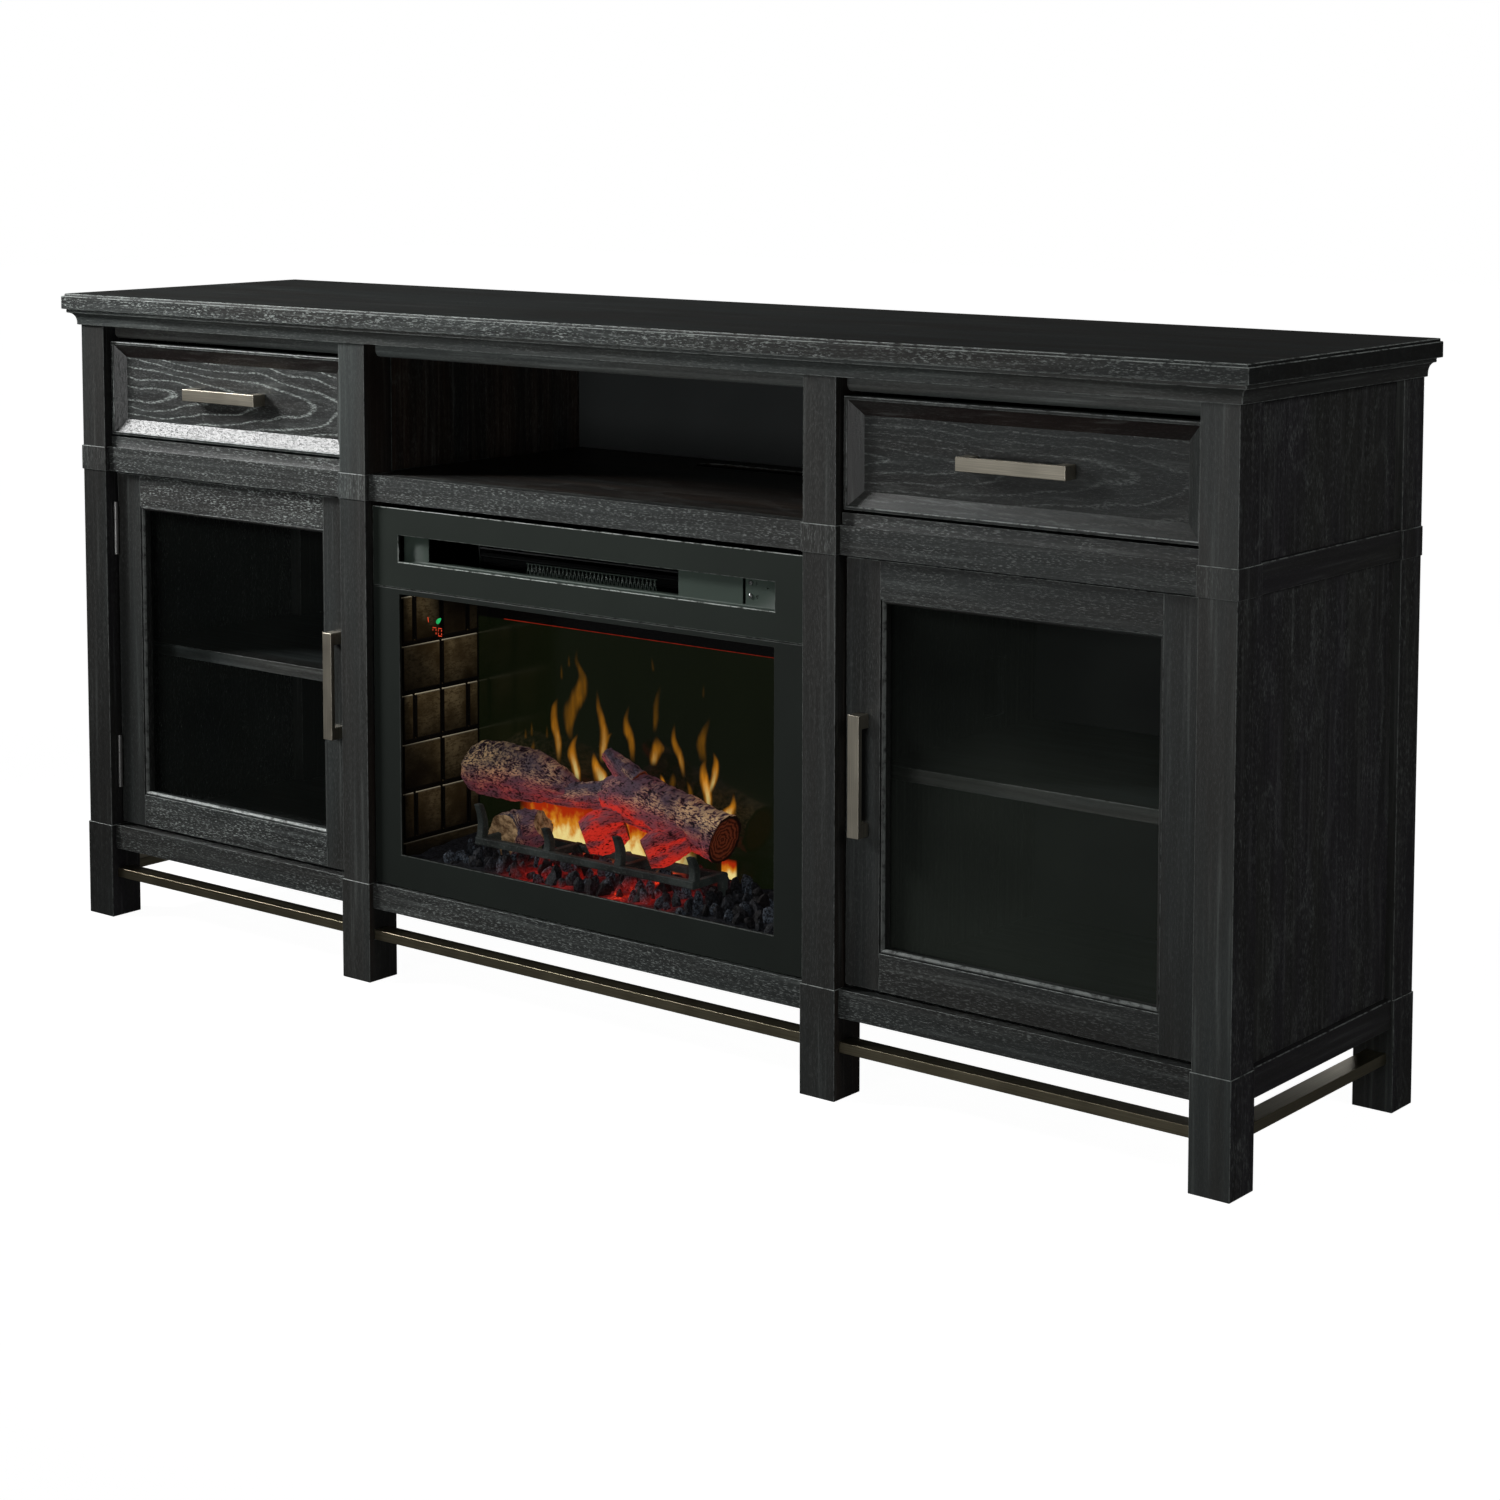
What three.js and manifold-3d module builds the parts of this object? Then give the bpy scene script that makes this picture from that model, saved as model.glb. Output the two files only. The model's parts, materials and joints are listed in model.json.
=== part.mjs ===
// Fireplace media console: a wooden case on square legs, with an electric firebox between two cupboards.
// Millimetres, +Z up. The origin is on the floor, under the middle of the overall box.
// Inside the case group, Y = 0 is the front face of the posts and X = 0 is the middle of the case.

import * as THREE from "three";
import { mergeVertices } from "three/addons/utils/BufferGeometryUtils.js";
import Module from "manifold-3d";

// Case
const caseWidth = 1700;
const caseDepth = 388.7;
const caseHeight = 799.6;
const centreBayWidth = 658.4;

// Top slab and the moulding under it
const slabThickness = 20;
const slabOverhang = 18.1;
const slabRearOverhang = 5.1;
const slabStepHeight = 3;
const slabStepInset = 3.2;
const corniceProjection = 13.6;
const corniceLip = 5;
const corniceQuirk = 1.2;
const corniceToe = 4;
const corniceToeHeight = 3;
const corniceHeight = 20.6;

// Posts
const postWidth = 43.4;
const postDepth = 45.6;
const blockProud = 1.5;

// Rails and belt
const legHeight = 91;
const baseRailHeight = 31.2;
const beltHeight = 31.4;
const mediaBayHeight = 140.4;
const friezeHeight = 37.6;
const friezeBead = 8;
const railInset = 6;
const friezeInset = 20;
const railThickness = 18;
const railTongue = 9;
const sillHeight = 13.4;

// Sides, boards and back
const sidePanelInset = 9;
const sidePanelThickness = 16;
const sideRailInset = 1.5;
const deckThickness = 18;
const bottomThickness = 16;
const backThickness = 5;
const backSideInset = 20;
const cableSlotLength = 180;
const cableSlotWidth = 33;
const cableSlotRearGap = 33.7;
const ventWidth = 150;
const ventHeight = 70;
const ventLift = 67.8;
const passageWidth = 40;
const passageHeight = 66;
const passageRearGap = 65.7;
const passageLift = 15.5;

// Shelves
const shelfHeightShare = 0.5;
const shelfThickness = 15.6;
const shelfFront = 75;
const shelfPinRadius = 2.5;
const shelfPinLength = 8;
const shelfPinInset = 34;

// Stretcher bars
const barWidth = 24;
const barHeight = 12;
const barBottom = 52;
const frontBarInset = 8;
const sideBarInset = 6;

// Drawers
const drawerInset = 10;
const drawerFrontThickness = 20;
const drawerSideGap = 2.7;
const drawerBottomGap = 3;
const drawerTopGap = 3.4;
const drawerRim = 4;
const drawerStep = 1.5;
const drawerMargin = 20;
const drawerRecess = 10;
const boxSideClearance = 13;
const boxWall = 12;
const boxBottom = 8;
const boxHeight = 104;
const boxLength = 330;
const boxLift = 5;
const guideDepth = 4;
const guideWidth = 8;
const trackRib = 22;
const trackBase = 60;
const trackBaseThickness = 4;
const trackGap = 0.3;
const trackSetback = 3;
const guideGap = 0.5;

// Doors
const doorInset = 17;
const doorThickness = 20;
const doorHingeGap = 3.2;
const doorMeetingGap = 2.5;
const doorTopGap = 3.2;
const doorBottomGap = 3.5;
const doorStile = 44;
const doorRail = 41;
const doorBead = 5;
const doorBeadStep = 3;
const glassSetback = 13;
const glassThickness = 4;
const glassLap = 4.5;

// Pulls
const pullLength = 132;
const pullFace = 15;
const pullThickness = 6;
const pullFoot = 15;
const doorPullReach = 18;
const drawerPullReach = 20;

// Hinges
const hingeHeight = 69;
const upperHingeInset = 38;
const lowerHingeInset = 46.3;
const knuckleRadius = 3.2;
const hingePinRadius = 1.4;
const hingeBoreRadius = 1.75;
const leafThickness = 1.2;
const leafRearInset = 1;
const leafKnuckleGap = 0.4;
const knuckleGap = 0.3;

// Firebox
const trimSideGap = 2.3;
const trimBottomGap = 1.5;
const trimTopGap = 6.2;
const trimInset = 10;
const trimThickness = 4;
const trimSeam = 0.6;
const fasciaHeight = 96.2;
const windowWidth = 566;
const windowHead = 6.7;
const windowSill = 39.8;
const slotWidth = 568;
const slotHeight = 32;
const slotHead = 32.5;
const casingWidth = 600;
const casingDepth = 220;
const casingTopGap = 10.2;
const casingWall = 3;
const casingLift = 27.8;
const heaterSpace = 92;
const linerThickness = 11;
const brickRelief = 3;
const brickJoint = 5;
const brickCourse = 60;
const firstCourse = 30;
const paneThickness = 4;
const paneClearance = 0.3;
const screenSetback = 136;
const screenThickness = 3;
const glandRadius = 8;
const glandLength = 6;

// Ember bed, logs and grate
const bedGap = 1;
const bedFrontHeight = 12;
const bedRearHeight = 26;
const bedBumps = 6;
const bedSetback = 8;
const logReach = 420;
const logRise = 150;
const logRadius = 31;
const logPlank = 124;
const grateWidth = 340;
const grateShift = -28;
const grateBar = 10;
const grateRailHeight = 33;
const grateHornHeight = 79;
const grateSetback = 34;

// Heater panel, its buttons and the blower
const panelSetback = 12;
const panelSheet = 2;
const panelLap = 2;
const panelLip = 1.5;
const outletLeft = -245;
const outletRight = 140;
const seamLeft = 231;
const seamRight = 235;
const outletMargin = 1.5;
const meshLeft = -101;
const meshRight = 97;
const meshHeight = 13;
const meshPitch = 6;
const meshWire = 0.8;
const meshSetback = 12;
const buttonX = 242.5;
const socketX = 251.7;
const sensorX = 265.7;
const socketRadius = 2.2;
const sensorRadius = 1.2;
const sensorRise = 22.2;
const upperButtonRise = 26;
const lowerButtonRise = 11.2;
const buttonRadius = 2.8;
const buttonReach = 2.2;
const buttonFlange = 4.4;
const buttonFlangeThickness = 1.2;
const blowerRadius = 26;
const blowerLength = 340;
const blowerBlade = 6;
const bladeThickness = 1.6;
const bladeCount = 16;
const blowerDisc = 2;
const blowerShaft = 3;
const blowerSetback = 96;
const blowerRise = 43;
const bracketThickness = 3;
const bracketGap = 5;
const bracketHalf = 16;
const motorRadius = 19;
const motorLength = 44;
const spare = 1;

// Working clearances
const fitGap = 0.3;
const sideFit = 0.5;
const weld = 0.0001;
const cutOverrun = 1;
const roundSides = 24;

// Places worked out from the sizes above
const halfWidth = caseWidth / 2;
const bayInner = centreBayWidth / 2;
const bayOuter = bayInner + postWidth;
const outerFace = halfWidth - postWidth;
const outerBlock = outerFace - blockProud;
const innerBlockNear = bayInner - blockProud;
const innerBlockFar = bayOuter + blockProud;
const bayMiddle = (bayOuter + outerFace) / 2;
const baseRailBottom = legHeight;
const baseRailTop = baseRailBottom + baseRailHeight;
const friezeBottom = caseHeight - friezeHeight;
const beltTop = friezeBottom - mediaBayHeight;
const beltBottom = beltTop - beltHeight;
const shelfTop = baseRailTop + (beltBottom - baseRailTop) * shelfHeightShare;
const passageFront = caseDepth - passageRearGap - passageWidth;
const passageBottom = shelfTop + passageLift;
const ventBottom = baseRailTop + ventLift;
const railFront = railInset;
const railRear = railInset + railThickness;
const friezeRear = friezeInset + railThickness;
const rearPostFront = caseDepth - postDepth;
const panelFace = halfWidth - sidePanelInset;
const panelInside = panelFace - sidePanelThickness;
const sideRailFace = halfWidth - sideRailInset;
const slabRear = caseDepth + slabRearOverhang;
const lapMiddle = (postDepth + caseDepth) / 2;
const trimFront = trimInset;
const trimRear = trimInset + trimThickness;
const trimHalf = bayInner - trimSideGap;
const trimBottom = baseRailTop + trimBottomGap;
const trimTop = beltBottom - trimTopGap;
const trimSeamHeight = trimTop - fasciaHeight - trimSeam;
const windowTop = trimSeamHeight - windowHead;
const windowBottom = trimBottom + windowSill;
const slotTop = trimTop - slotHead;
const slotBottom = slotTop - slotHeight;
const casingTop = beltBottom - casingTopGap;
const casingFloor = baseRailTop + casingLift;
const fireCeiling = casingTop - heaterSpace;
const casingHalf = casingWidth / 2;
const casingRear = trimRear + casingDepth;
const chamberHalf = casingHalf - casingWall;
const wallRear = casingRear - casingWall;
const sillTop = beltTop + sillHeight;

// Finishes: colour, roughness and metalness of each kind of surface
const finishes = {
  wood: [0x3b3a3a, 0.55, 0],
  insideWood: [0x2d2b2a, 0.7, 0],
  backBoard: [0x33363a, 0.75, 0],
  bronze: [0x8a7c66, 0.35, 1],
  nickel: [0xc6bba8, 0.3, 1],
  steel: [0x8f8f8c, 0.4, 1],
  blackSteel: [0x3a3f39, 0.5, 0.3],
  greyPanel: [0x6c756e, 0.5, 0.2],
  glass: [0x5e6662, 0.05, 0],
  screen: [0x10180f, 0.15, 0],
  brick: [0x7d705a, 0.9, 0],
  ember: [0x6a4a40, 0.9, 0],
  fan: [0x9aa09f, 0.4, 0.8],
  button: [0xe6e8e6, 0.2, 1],
};

const wasm = await Module();
wasm.setup();

// Solids

function solidOf(geometry) {
  const bare = geometry.index ? geometry.toNonIndexed() : geometry.clone();
  bare.deleteAttribute("normal");
  bare.deleteAttribute("uv");
  const merged = mergeVertices(bare, weld);
  const mesh = new wasm.Mesh({
    numProp: 3,
    vertProperties: new Float32Array(merged.attributes.position.array),
    triVerts: new Uint32Array(merged.index.array),
  });
  return new wasm.Manifold(mesh);
}

function geometryOf(solid) {
  const mesh = solid.getMesh();
  const geometry = new THREE.BufferGeometry();
  geometry.setAttribute("position", new THREE.BufferAttribute(new Float32Array(mesh.vertProperties), 3));
  geometry.setIndex(new THREE.BufferAttribute(new Uint32Array(mesh.triVerts), 1));
  geometry.computeVertexNormals();
  return geometry;
}

// A box between two corners, with each face exactly on the number given
function block(x0, x1, y0, y1, z0, z1) {
  const geometry = new THREE.BoxGeometry(1, 1, 1);
  const place = geometry.attributes.position;
  for (let i = 0; i < place.count; i++) {
    const x = place.getX(i) < 0 ? x0 : x1;
    const y = place.getY(i) < 0 ? y0 : y1;
    const z = place.getZ(i) < 0 ? z0 : z1;
    place.setXYZ(i, x, y, z);
  }
  return solidOf(geometry);
}

function outlineShape(points) {
  return new THREE.Shape(points.map(([u, v]) => new THREE.Vector2(u, v)));
}

// An outline in Y and Z, carried along X
function alongX(points, x0, x1) {
  const geometry = new THREE.ExtrudeGeometry(outlineShape(points), { depth: 1, bevelEnabled: false });
  const place = geometry.attributes.position;
  for (let i = 0; i < place.count; i++) {
    const end = place.getZ(i) > 0 ? x1 : x0;
    place.setXYZ(i, end, place.getX(i), place.getY(i));
  }
  return solidOf(geometry);
}

// An outline in X and Z, carried along Y
function alongY(points, y0, y1) {
  const shape = outlineShape([...points].reverse());
  const geometry = new THREE.ExtrudeGeometry(shape, { depth: 1, bevelEnabled: false });
  const place = geometry.attributes.position;
  for (let i = 0; i < place.count; i++) {
    const end = place.getZ(i) > 0 ? y0 : y1;
    place.setXYZ(i, place.getX(i), end, place.getY(i));
  }
  return solidOf(geometry);
}

// An outline in X and Y, carried up Z
function upZ(points, z0, z1) {
  const geometry = new THREE.ExtrudeGeometry(outlineShape(points), { depth: 1, bevelEnabled: false });
  const place = geometry.attributes.position;
  for (let i = 0; i < place.count; i++) {
    place.setZ(i, place.getZ(i) > 0 ? z1 : z0);
  }
  return solidOf(geometry);
}

// Rings of points with the same count, skinned from one to the next and closed at both ends
function skinned(rings) {
  const count = rings[0].length;
  const corners = [];
  const place = (r, i) => corners.push(...rings[r][i % count]);
  for (let r = 0; r + 1 < rings.length; r++) {
    for (let i = 0; i < count; i++) {
      place(r, i);
      place(r, i + 1);
      place(r + 1, i + 1);
      place(r, i);
      place(r + 1, i + 1);
      place(r + 1, i);
    }
  }
  const last = rings.length - 1;
  for (let i = 1; i + 1 < count; i++) {
    place(0, 0);
    place(0, i + 1);
    place(0, i);
    place(last, 0);
    place(last, i);
    place(last, i + 1);
  }
  const geometry = new THREE.BufferGeometry();
  geometry.setAttribute("position", new THREE.Float32BufferAttribute(corners, 3));
  return solidOf(geometry);
}

// A round bar along one axis, from one end to the other
function rod(axis, radius, from, to, a, b) {
  const geometry = new THREE.CylinderGeometry(radius, radius, to - from, roundSides);
  const middle = (from + to) / 2;
  if (axis === "x") {
    geometry.rotateZ(Math.PI / 2);
    geometry.translate(middle, a, b);
  } else if (axis === "y") {
    geometry.translate(a, middle, b);
  } else {
    geometry.rotateX(Math.PI / 2);
    geometry.translate(a, b, middle);
  }
  return solidOf(geometry);
}

function mirrored(geometry) {
  const other = geometry.clone();
  const place = other.attributes.position;
  for (let i = 0; i < place.count; i++) {
    place.setX(i, -place.getX(i));
  }
  const index = other.index.array;
  for (let i = 0; i < index.length; i += 3) {
    [index[i + 1], index[i + 2]] = [index[i + 2], index[i + 1]];
  }
  other.computeVertexNormals();
  return other;
}

const caseGroup = new THREE.Group();

function addMesh(name, geometry, finish) {
  const [color, roughness, metalness] = finishes[finish];
  const mesh = new THREE.Mesh(geometry, new THREE.MeshStandardMaterial({ color, roughness, metalness }));
  mesh.name = name;
  caseGroup.add(mesh);
}

function add(name, solid, finish) {
  addMesh(name, geometryOf(solid), finish);
}

// A piece modelled on the right, with its mirror image on the left
function addPair(name, solid, finish, tail = "") {
  const geometry = geometryOf(solid);
  addMesh(`${name}_right${tail}`, geometry, finish);
  addMesh(`${name}_left${tail}`, mirrored(geometry), finish);
}

// Top slab, with a small step round its upper edge

function topSlab() {
  const side = halfWidth + slabOverhang;
  const top = caseHeight + slabThickness;
  const shoulder = top - slabStepHeight;
  const lower = block(-side, side, -slabOverhang, slabRear, caseHeight, shoulder);
  const inner = side - slabStepInset;
  const upper = block(-inner, inner, -slabOverhang + slabStepInset, slabRear, shoulder - cutOverrun, top);
  return lower.add(upper);
}

// Cornice moulding, mitred round the front corners and square at the rear

function cornice() {
  const z = (drop) => caseHeight - drop;
  const coveTop = corniceProjection - corniceQuirk;
  const coveStart = corniceLip;
  const coveEnd = corniceHeight - corniceToeHeight;
  const profile = [[0, z(0)], [corniceProjection, z(0)], [corniceProjection, z(corniceLip)]];
  const steps = 6;
  for (let i = 0; i <= steps; i++) {
    const turn = (i / steps) * (Math.PI / 2);
    const out = corniceToe + (coveTop - corniceToe) * (1 - Math.sin(turn));
    const drop = coveEnd - (coveEnd - coveStart) * Math.cos(turn);
    profile.push([out, z(drop)]);
  }
  profile.push([corniceToe, z(corniceHeight)], [0, z(corniceHeight)]);
  const corner = (sideways, along) => profile.map(([out, height]) => [
    sideways * (halfWidth + out),
    along === "front" ? -out : caseDepth,
    height,
  ]);
  return skinned([corner(-1, "rear"), corner(-1, "front"), corner(1, "front"), corner(1, "rear")]);
}

// Long rails, each one length of wood that passes through the inner posts on a thinner tongue

function lapped(rail, near, far, front, z0, z1) {
  const rear = front + railThickness;
  const tongueTop = z1 < caseHeight ? z1 - fitGap : z1 + cutOverrun + cutOverrun;
  let result = rail;
  for (const side of [-1, 1]) {
    const [x0, x1] = [side * near, side * far].sort((a, b) => a - b);
    const round = block(x0, x1, front - cutOverrun, rear + cutOverrun, z0 - cutOverrun, z1 + cutOverrun);
    const tongue = block(x0 - cutOverrun, x1 + cutOverrun, rear - railTongue + fitGap, rear - fitGap,
      z0 + fitGap, tongueTop);
    result = result.subtract(round.subtract(tongue));
  }
  return result;
}

function friezeRail() {
  const steps = 4;
  const outline = [[friezeRear, caseHeight], [friezeInset, caseHeight]];
  for (let i = 0; i <= steps; i++) {
    const turn = (i / steps) * (Math.PI / 2);
    const y = friezeInset + friezeBead * (1 - Math.cos(turn));
    const z = friezeBottom + friezeBead * (1 - Math.sin(turn));
    outline.push([y, z]);
  }
  outline.push([friezeRear, friezeBottom]);
  const rail = alongX(outline, -outerFace, outerFace);
  return lapped(rail, bayInner, bayOuter, friezeInset, friezeBottom, caseHeight);
}

function beltRail() {
  const length = block(-outerBlock, outerBlock, railFront, railRear, beltBottom, beltTop);
  let rail = lapped(length, innerBlockNear, innerBlockFar, railFront, beltBottom, beltTop);
  for (const side of [-1, 1]) {
    const [x0, x1] = [side * innerBlockFar, side * outerBlock].sort((a, b) => a - b);
    rail = rail.add(block(x0, x1, drawerInset, railRear, beltTop - cutOverrun, sillTop));
  }
  return rail;
}

function baseRail() {
  const rail = block(-outerBlock, outerBlock, railFront, railRear, baseRailBottom, baseRailTop);
  return lapped(rail, innerBlockNear, innerBlockFar, railFront, baseRailBottom, baseRailTop);
}

// Posts, each with a proud block at the belt and another at the foot

function post(x0, x1, y0, y1, yBlock) {
  let solid = block(x0, x1, y0, y1, 0, caseHeight);
  for (const [z0, z1] of [[0, baseRailTop], [beltBottom, beltTop]]) {
    solid = solid.add(block(x0 - blockProud, x1 + blockProud, yBlock, y1, z0, z1));
  }
  return solid;
}

function innerPost() {
  let solid = post(bayInner, bayOuter, 0, postDepth, -blockProud);
  const x0 = innerBlockNear - cutOverrun;
  const x1 = innerBlockFar + cutOverrun;
  solid = solid.subtract(block(x0, x1, railRear - railTongue, railRear, baseRailBottom, baseRailTop));
  solid = solid.subtract(block(x0, x1, railRear - railTongue, railRear, beltBottom, beltTop));
  const top = caseHeight + cutOverrun;
  solid = solid.subtract(block(x0, x1, friezeRear - railTongue, friezeRear, friezeBottom, top));
  const barFront = frontBarInset - fitGap;
  const barRear = frontBarInset + barWidth + fitGap;
  return solid.subtract(block(x0, x1, barFront, barRear, barBottom, barBottom + barHeight + fitGap));
}

// Boards

function notch(board, x0, x1, y0, y1) {
  let result = board;
  for (const side of [-1, 1]) {
    const [left, right] = [side * x0, side * x1].sort((a, b) => a - b);
    result = result.subtract(block(left, right, y0, y1, 0, caseHeight));
  }
  return result;
}

function floorBoard(z0, z1) {
  let board = block(-panelInside, panelInside, railRear, caseDepth, z0, z1);
  board = notch(board, outerBlock, halfWidth, railRear - cutOverrun, postDepth);
  board = notch(board, innerBlockNear, innerBlockFar, railRear - cutOverrun, postDepth);
  return notch(board, outerBlock, halfWidth, rearPostFront, caseDepth + cutOverrun);
}

function deck() {
  let board = floorBoard(beltTop - deckThickness, beltTop);
  board = notch(board, bayInner - fitGap, bayOuter + fitGap, lapMiddle, caseDepth + cutOverrun);
  const rear = caseDepth - cableSlotRearGap;
  const radius = cableSlotWidth / 2;
  const reach = cableSlotLength / 2 - radius;
  const ends = [];
  const steps = 8;
  for (const side of [1, -1]) {
    for (let i = 0; i <= steps; i++) {
      const turn = (i / steps - 1 / 2) * Math.PI;
      ends.push([side * (reach + radius * Math.cos(turn)), rear - radius + side * radius * Math.sin(turn)]);
    }
  }
  return board.subtract(upZ(ends, beltTop - deckThickness - cutOverrun, beltTop + cutOverrun));
}

function shelfPins(from, to) {
  const z = shelfTop - shelfThickness - shelfPinRadius - fitGap / 2;
  const places = [shelfFront + shelfPinInset, rearPostFront - shelfPinInset];
  return places.map((y) => rod("x", shelfPinRadius, from, to, y, z));
}

function partition() {
  let board = block(bayInner, bayOuter, postDepth, caseDepth, baseRailTop, caseHeight);
  const x0 = bayInner - cutOverrun;
  const x1 = bayOuter + cutOverrun;
  const passageRear = passageFront + passageWidth;
  const passageTop = passageBottom + passageHeight;
  const deckBottom = beltTop - deckThickness;
  board = board.subtract(block(x0, x1, postDepth - cutOverrun, lapMiddle, deckBottom, beltTop + fitGap));
  board = board.subtract(block(x0, x1, passageFront, passageRear, passageBottom, passageTop));
  for (const pin of shelfPins(bayOuter - cutOverrun, bayOuter + shelfPinLength)) {
    board = board.add(pin);
  }
  return board;
}

function sidePanel() {
  let board = block(panelInside, panelFace, postDepth, rearPostFront, baseRailTop, caseHeight);
  for (const pin of shelfPins(panelInside - shelfPinLength, panelInside + cutOverrun)) {
    board = board.add(pin);
  }
  return board;
}

function shelf() {
  const z0 = shelfTop - shelfThickness;
  const rear = caseDepth - sideFit;
  const board = block(bayOuter + sideFit, panelInside - sideFit, shelfFront, rear, z0, shelfTop);
  const front = rearPostFront - sideFit;
  const above = shelfTop + cutOverrun;
  return board.subtract(block(outerFace - sideFit, halfWidth, front, caseDepth, z0 - cutOverrun, above));
}

function backPanel() {
  const side = halfWidth - backSideInset;
  const rear = caseDepth + backThickness;
  const board = block(-side, side, caseDepth, rear, baseRailBottom, caseHeight - fitGap);
  const half = ventWidth / 2;
  const through = [caseDepth - cutOverrun, rear + cutOverrun];
  return board.subtract(block(-half, half, ...through, ventBottom, ventBottom + ventHeight));
}

// Drawers

const drawerLeft = bayOuter + drawerSideGap;
const drawerRight = outerFace - drawerSideGap;
const drawerBottom = sillTop + drawerBottomGap;
const drawerTop = friezeBottom - drawerTopGap;
const drawerFace = drawerInset;
const drawerRear = drawerInset + drawerFrontThickness;
const drawerMiddle = (drawerBottom + drawerTop) / 2;

function drawerRing(margin, y) {
  return [
    [drawerLeft + margin, y, drawerBottom + margin],
    [drawerRight - margin, y, drawerBottom + margin],
    [drawerRight - margin, y, drawerTop - margin],
    [drawerLeft + margin, y, drawerTop - margin],
  ].reverse();
}

function drawerFront() {
  const board = block(drawerLeft, drawerRight, drawerFace, drawerRear, drawerBottom, drawerTop);
  const hollow = skinned([
    drawerRing(drawerRim, drawerFace - cutOverrun),
    drawerRing(drawerRim, drawerFace + drawerStep),
    drawerRing(drawerMargin, drawerFace + drawerRecess),
  ]);
  return board.subtract(hollow);
}

function drawerBox() {
  const x0 = bayOuter + boxSideClearance;
  const x1 = outerFace - boxSideClearance;
  const z0 = sillTop + boxLift;
  const rear = drawerRear + boxLength;
  const shell = block(x0, x1, drawerRear, rear, z0, z0 + boxHeight);
  const inside = block(x0 + boxWall, x1 - boxWall, drawerRear + boxWall, rear - boxWall, z0 + boxBottom,
    z0 + boxHeight + cutOverrun);
  let box = shell.subtract(inside);
  for (const side of [-1, 1]) {
    const near = bayMiddle + side * (trackRib / 2 + guideGap);
    const far = near + side * guideWidth;
    const [left, right] = [near, far].sort((a, b) => a - b);
    box = box.add(block(left, right, drawerRear + boxWall, rear, z0 - guideDepth, z0 + cutOverrun));
  }
  return box;
}

function drawerTrack() {
  const half = trackBase / 2;
  const rib = trackRib / 2;
  const front = drawerRear + trackSetback;
  const baseTop = beltTop + trackBaseThickness;
  const ribTop = sillTop + boxLift - trackGap;
  const base = block(bayMiddle - half, bayMiddle + half, front, caseDepth, beltTop, baseTop);
  return base.add(block(bayMiddle - rib, bayMiddle + rib, front, caseDepth, beltTop, ribTop));
}

// Pulls: a flat bar with a foot at each end

function drawerPull() {
  const seat = drawerFace + drawerRecess;
  const front = seat - drawerPullReach;
  const half = pullLength / 2;
  const z0 = drawerMiddle - pullFace / 2;
  const z1 = drawerMiddle + pullFace / 2;
  const bar = block(bayMiddle - half, bayMiddle + half, front, seat, z0, z1);
  const gap = half - pullFoot;
  return bar.subtract(block(bayMiddle - gap, bayMiddle + gap, front + pullThickness, seat + cutOverrun,
    z0 - cutOverrun, z1 + cutOverrun));
}

const doorLeft = bayOuter + doorMeetingGap;
const doorRight = outerFace - doorHingeGap;
const doorBottom = baseRailTop + doorBottomGap;
const doorTop = beltBottom - doorTopGap;
const doorFace = doorInset;
const doorRear = doorInset + doorThickness;

function doorPull() {
  const front = doorFace - doorPullReach;
  const middle = (doorBottom + doorTop) / 2;
  const half = pullLength / 2;
  const x0 = doorLeft + doorStile / 2 - pullFace / 2;
  const bar = block(x0, x0 + pullFace, front, doorFace, middle - half, middle + half);
  const gap = half - pullFoot;
  return bar.subtract(block(x0 - cutOverrun, x0 + pullFace + cutOverrun, front + pullThickness,
    doorFace + cutOverrun, middle - gap, middle + gap));
}

// Doors: a frame of stiles and rails with a stepped bead, and a pane in a rabbet behind it

function doorOpening(stile, rail, y0, y1) {
  return block(doorLeft + stile, doorRight - stile, y0, y1, doorBottom + rail, doorTop - rail);
}

function doorFrame() {
  const frame = block(doorLeft, doorRight, doorFace, doorRear, doorBottom, doorTop);
  const front = doorFace - cutOverrun;
  const step = doorOpening(doorStile, doorRail, front, doorFace + doorBeadStep);
  const sight = doorOpening(doorStile + doorBead, doorRail + doorBead, front, doorRear + cutOverrun);
  const rabbetEdge = doorBead - glassLap - fitGap;
  const rabbet = doorOpening(doorStile + rabbetEdge, doorRail + rabbetEdge, doorFace + glassSetback,
    doorRear + cutOverrun);
  return frame.subtract(step).subtract(sight).subtract(rabbet);
}

function doorGlass() {
  const edge = doorBead - glassLap;
  const y0 = doorFace + glassSetback;
  return doorOpening(doorStile + edge, doorRail + edge, y0, y0 + glassThickness);
}

// Butt hinges: one leaf on the post carries the pin, the other on the door edge turns on it

const hingeX = outerFace - fitGap - knuckleRadius;
const hingeY = doorFace - fitGap - knuckleRadius;
const upperHingeBottom = doorTop - upperHingeInset - hingeHeight;
const lowerHingeBottom = doorBottom + lowerHingeInset;

function leafPlate(x0, z0) {
  const front = hingeY + knuckleRadius + leafKnuckleGap;
  return block(x0, x0 + leafThickness, front, doorRear - leafRearInset, z0, z0 + hingeHeight);
}

function leafStrap(x0, z0, z1) {
  const rear = hingeY + knuckleRadius + leafKnuckleGap + cutOverrun;
  return block(x0, x0 + leafThickness, hingeY, rear, z0, z1);
}

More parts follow.
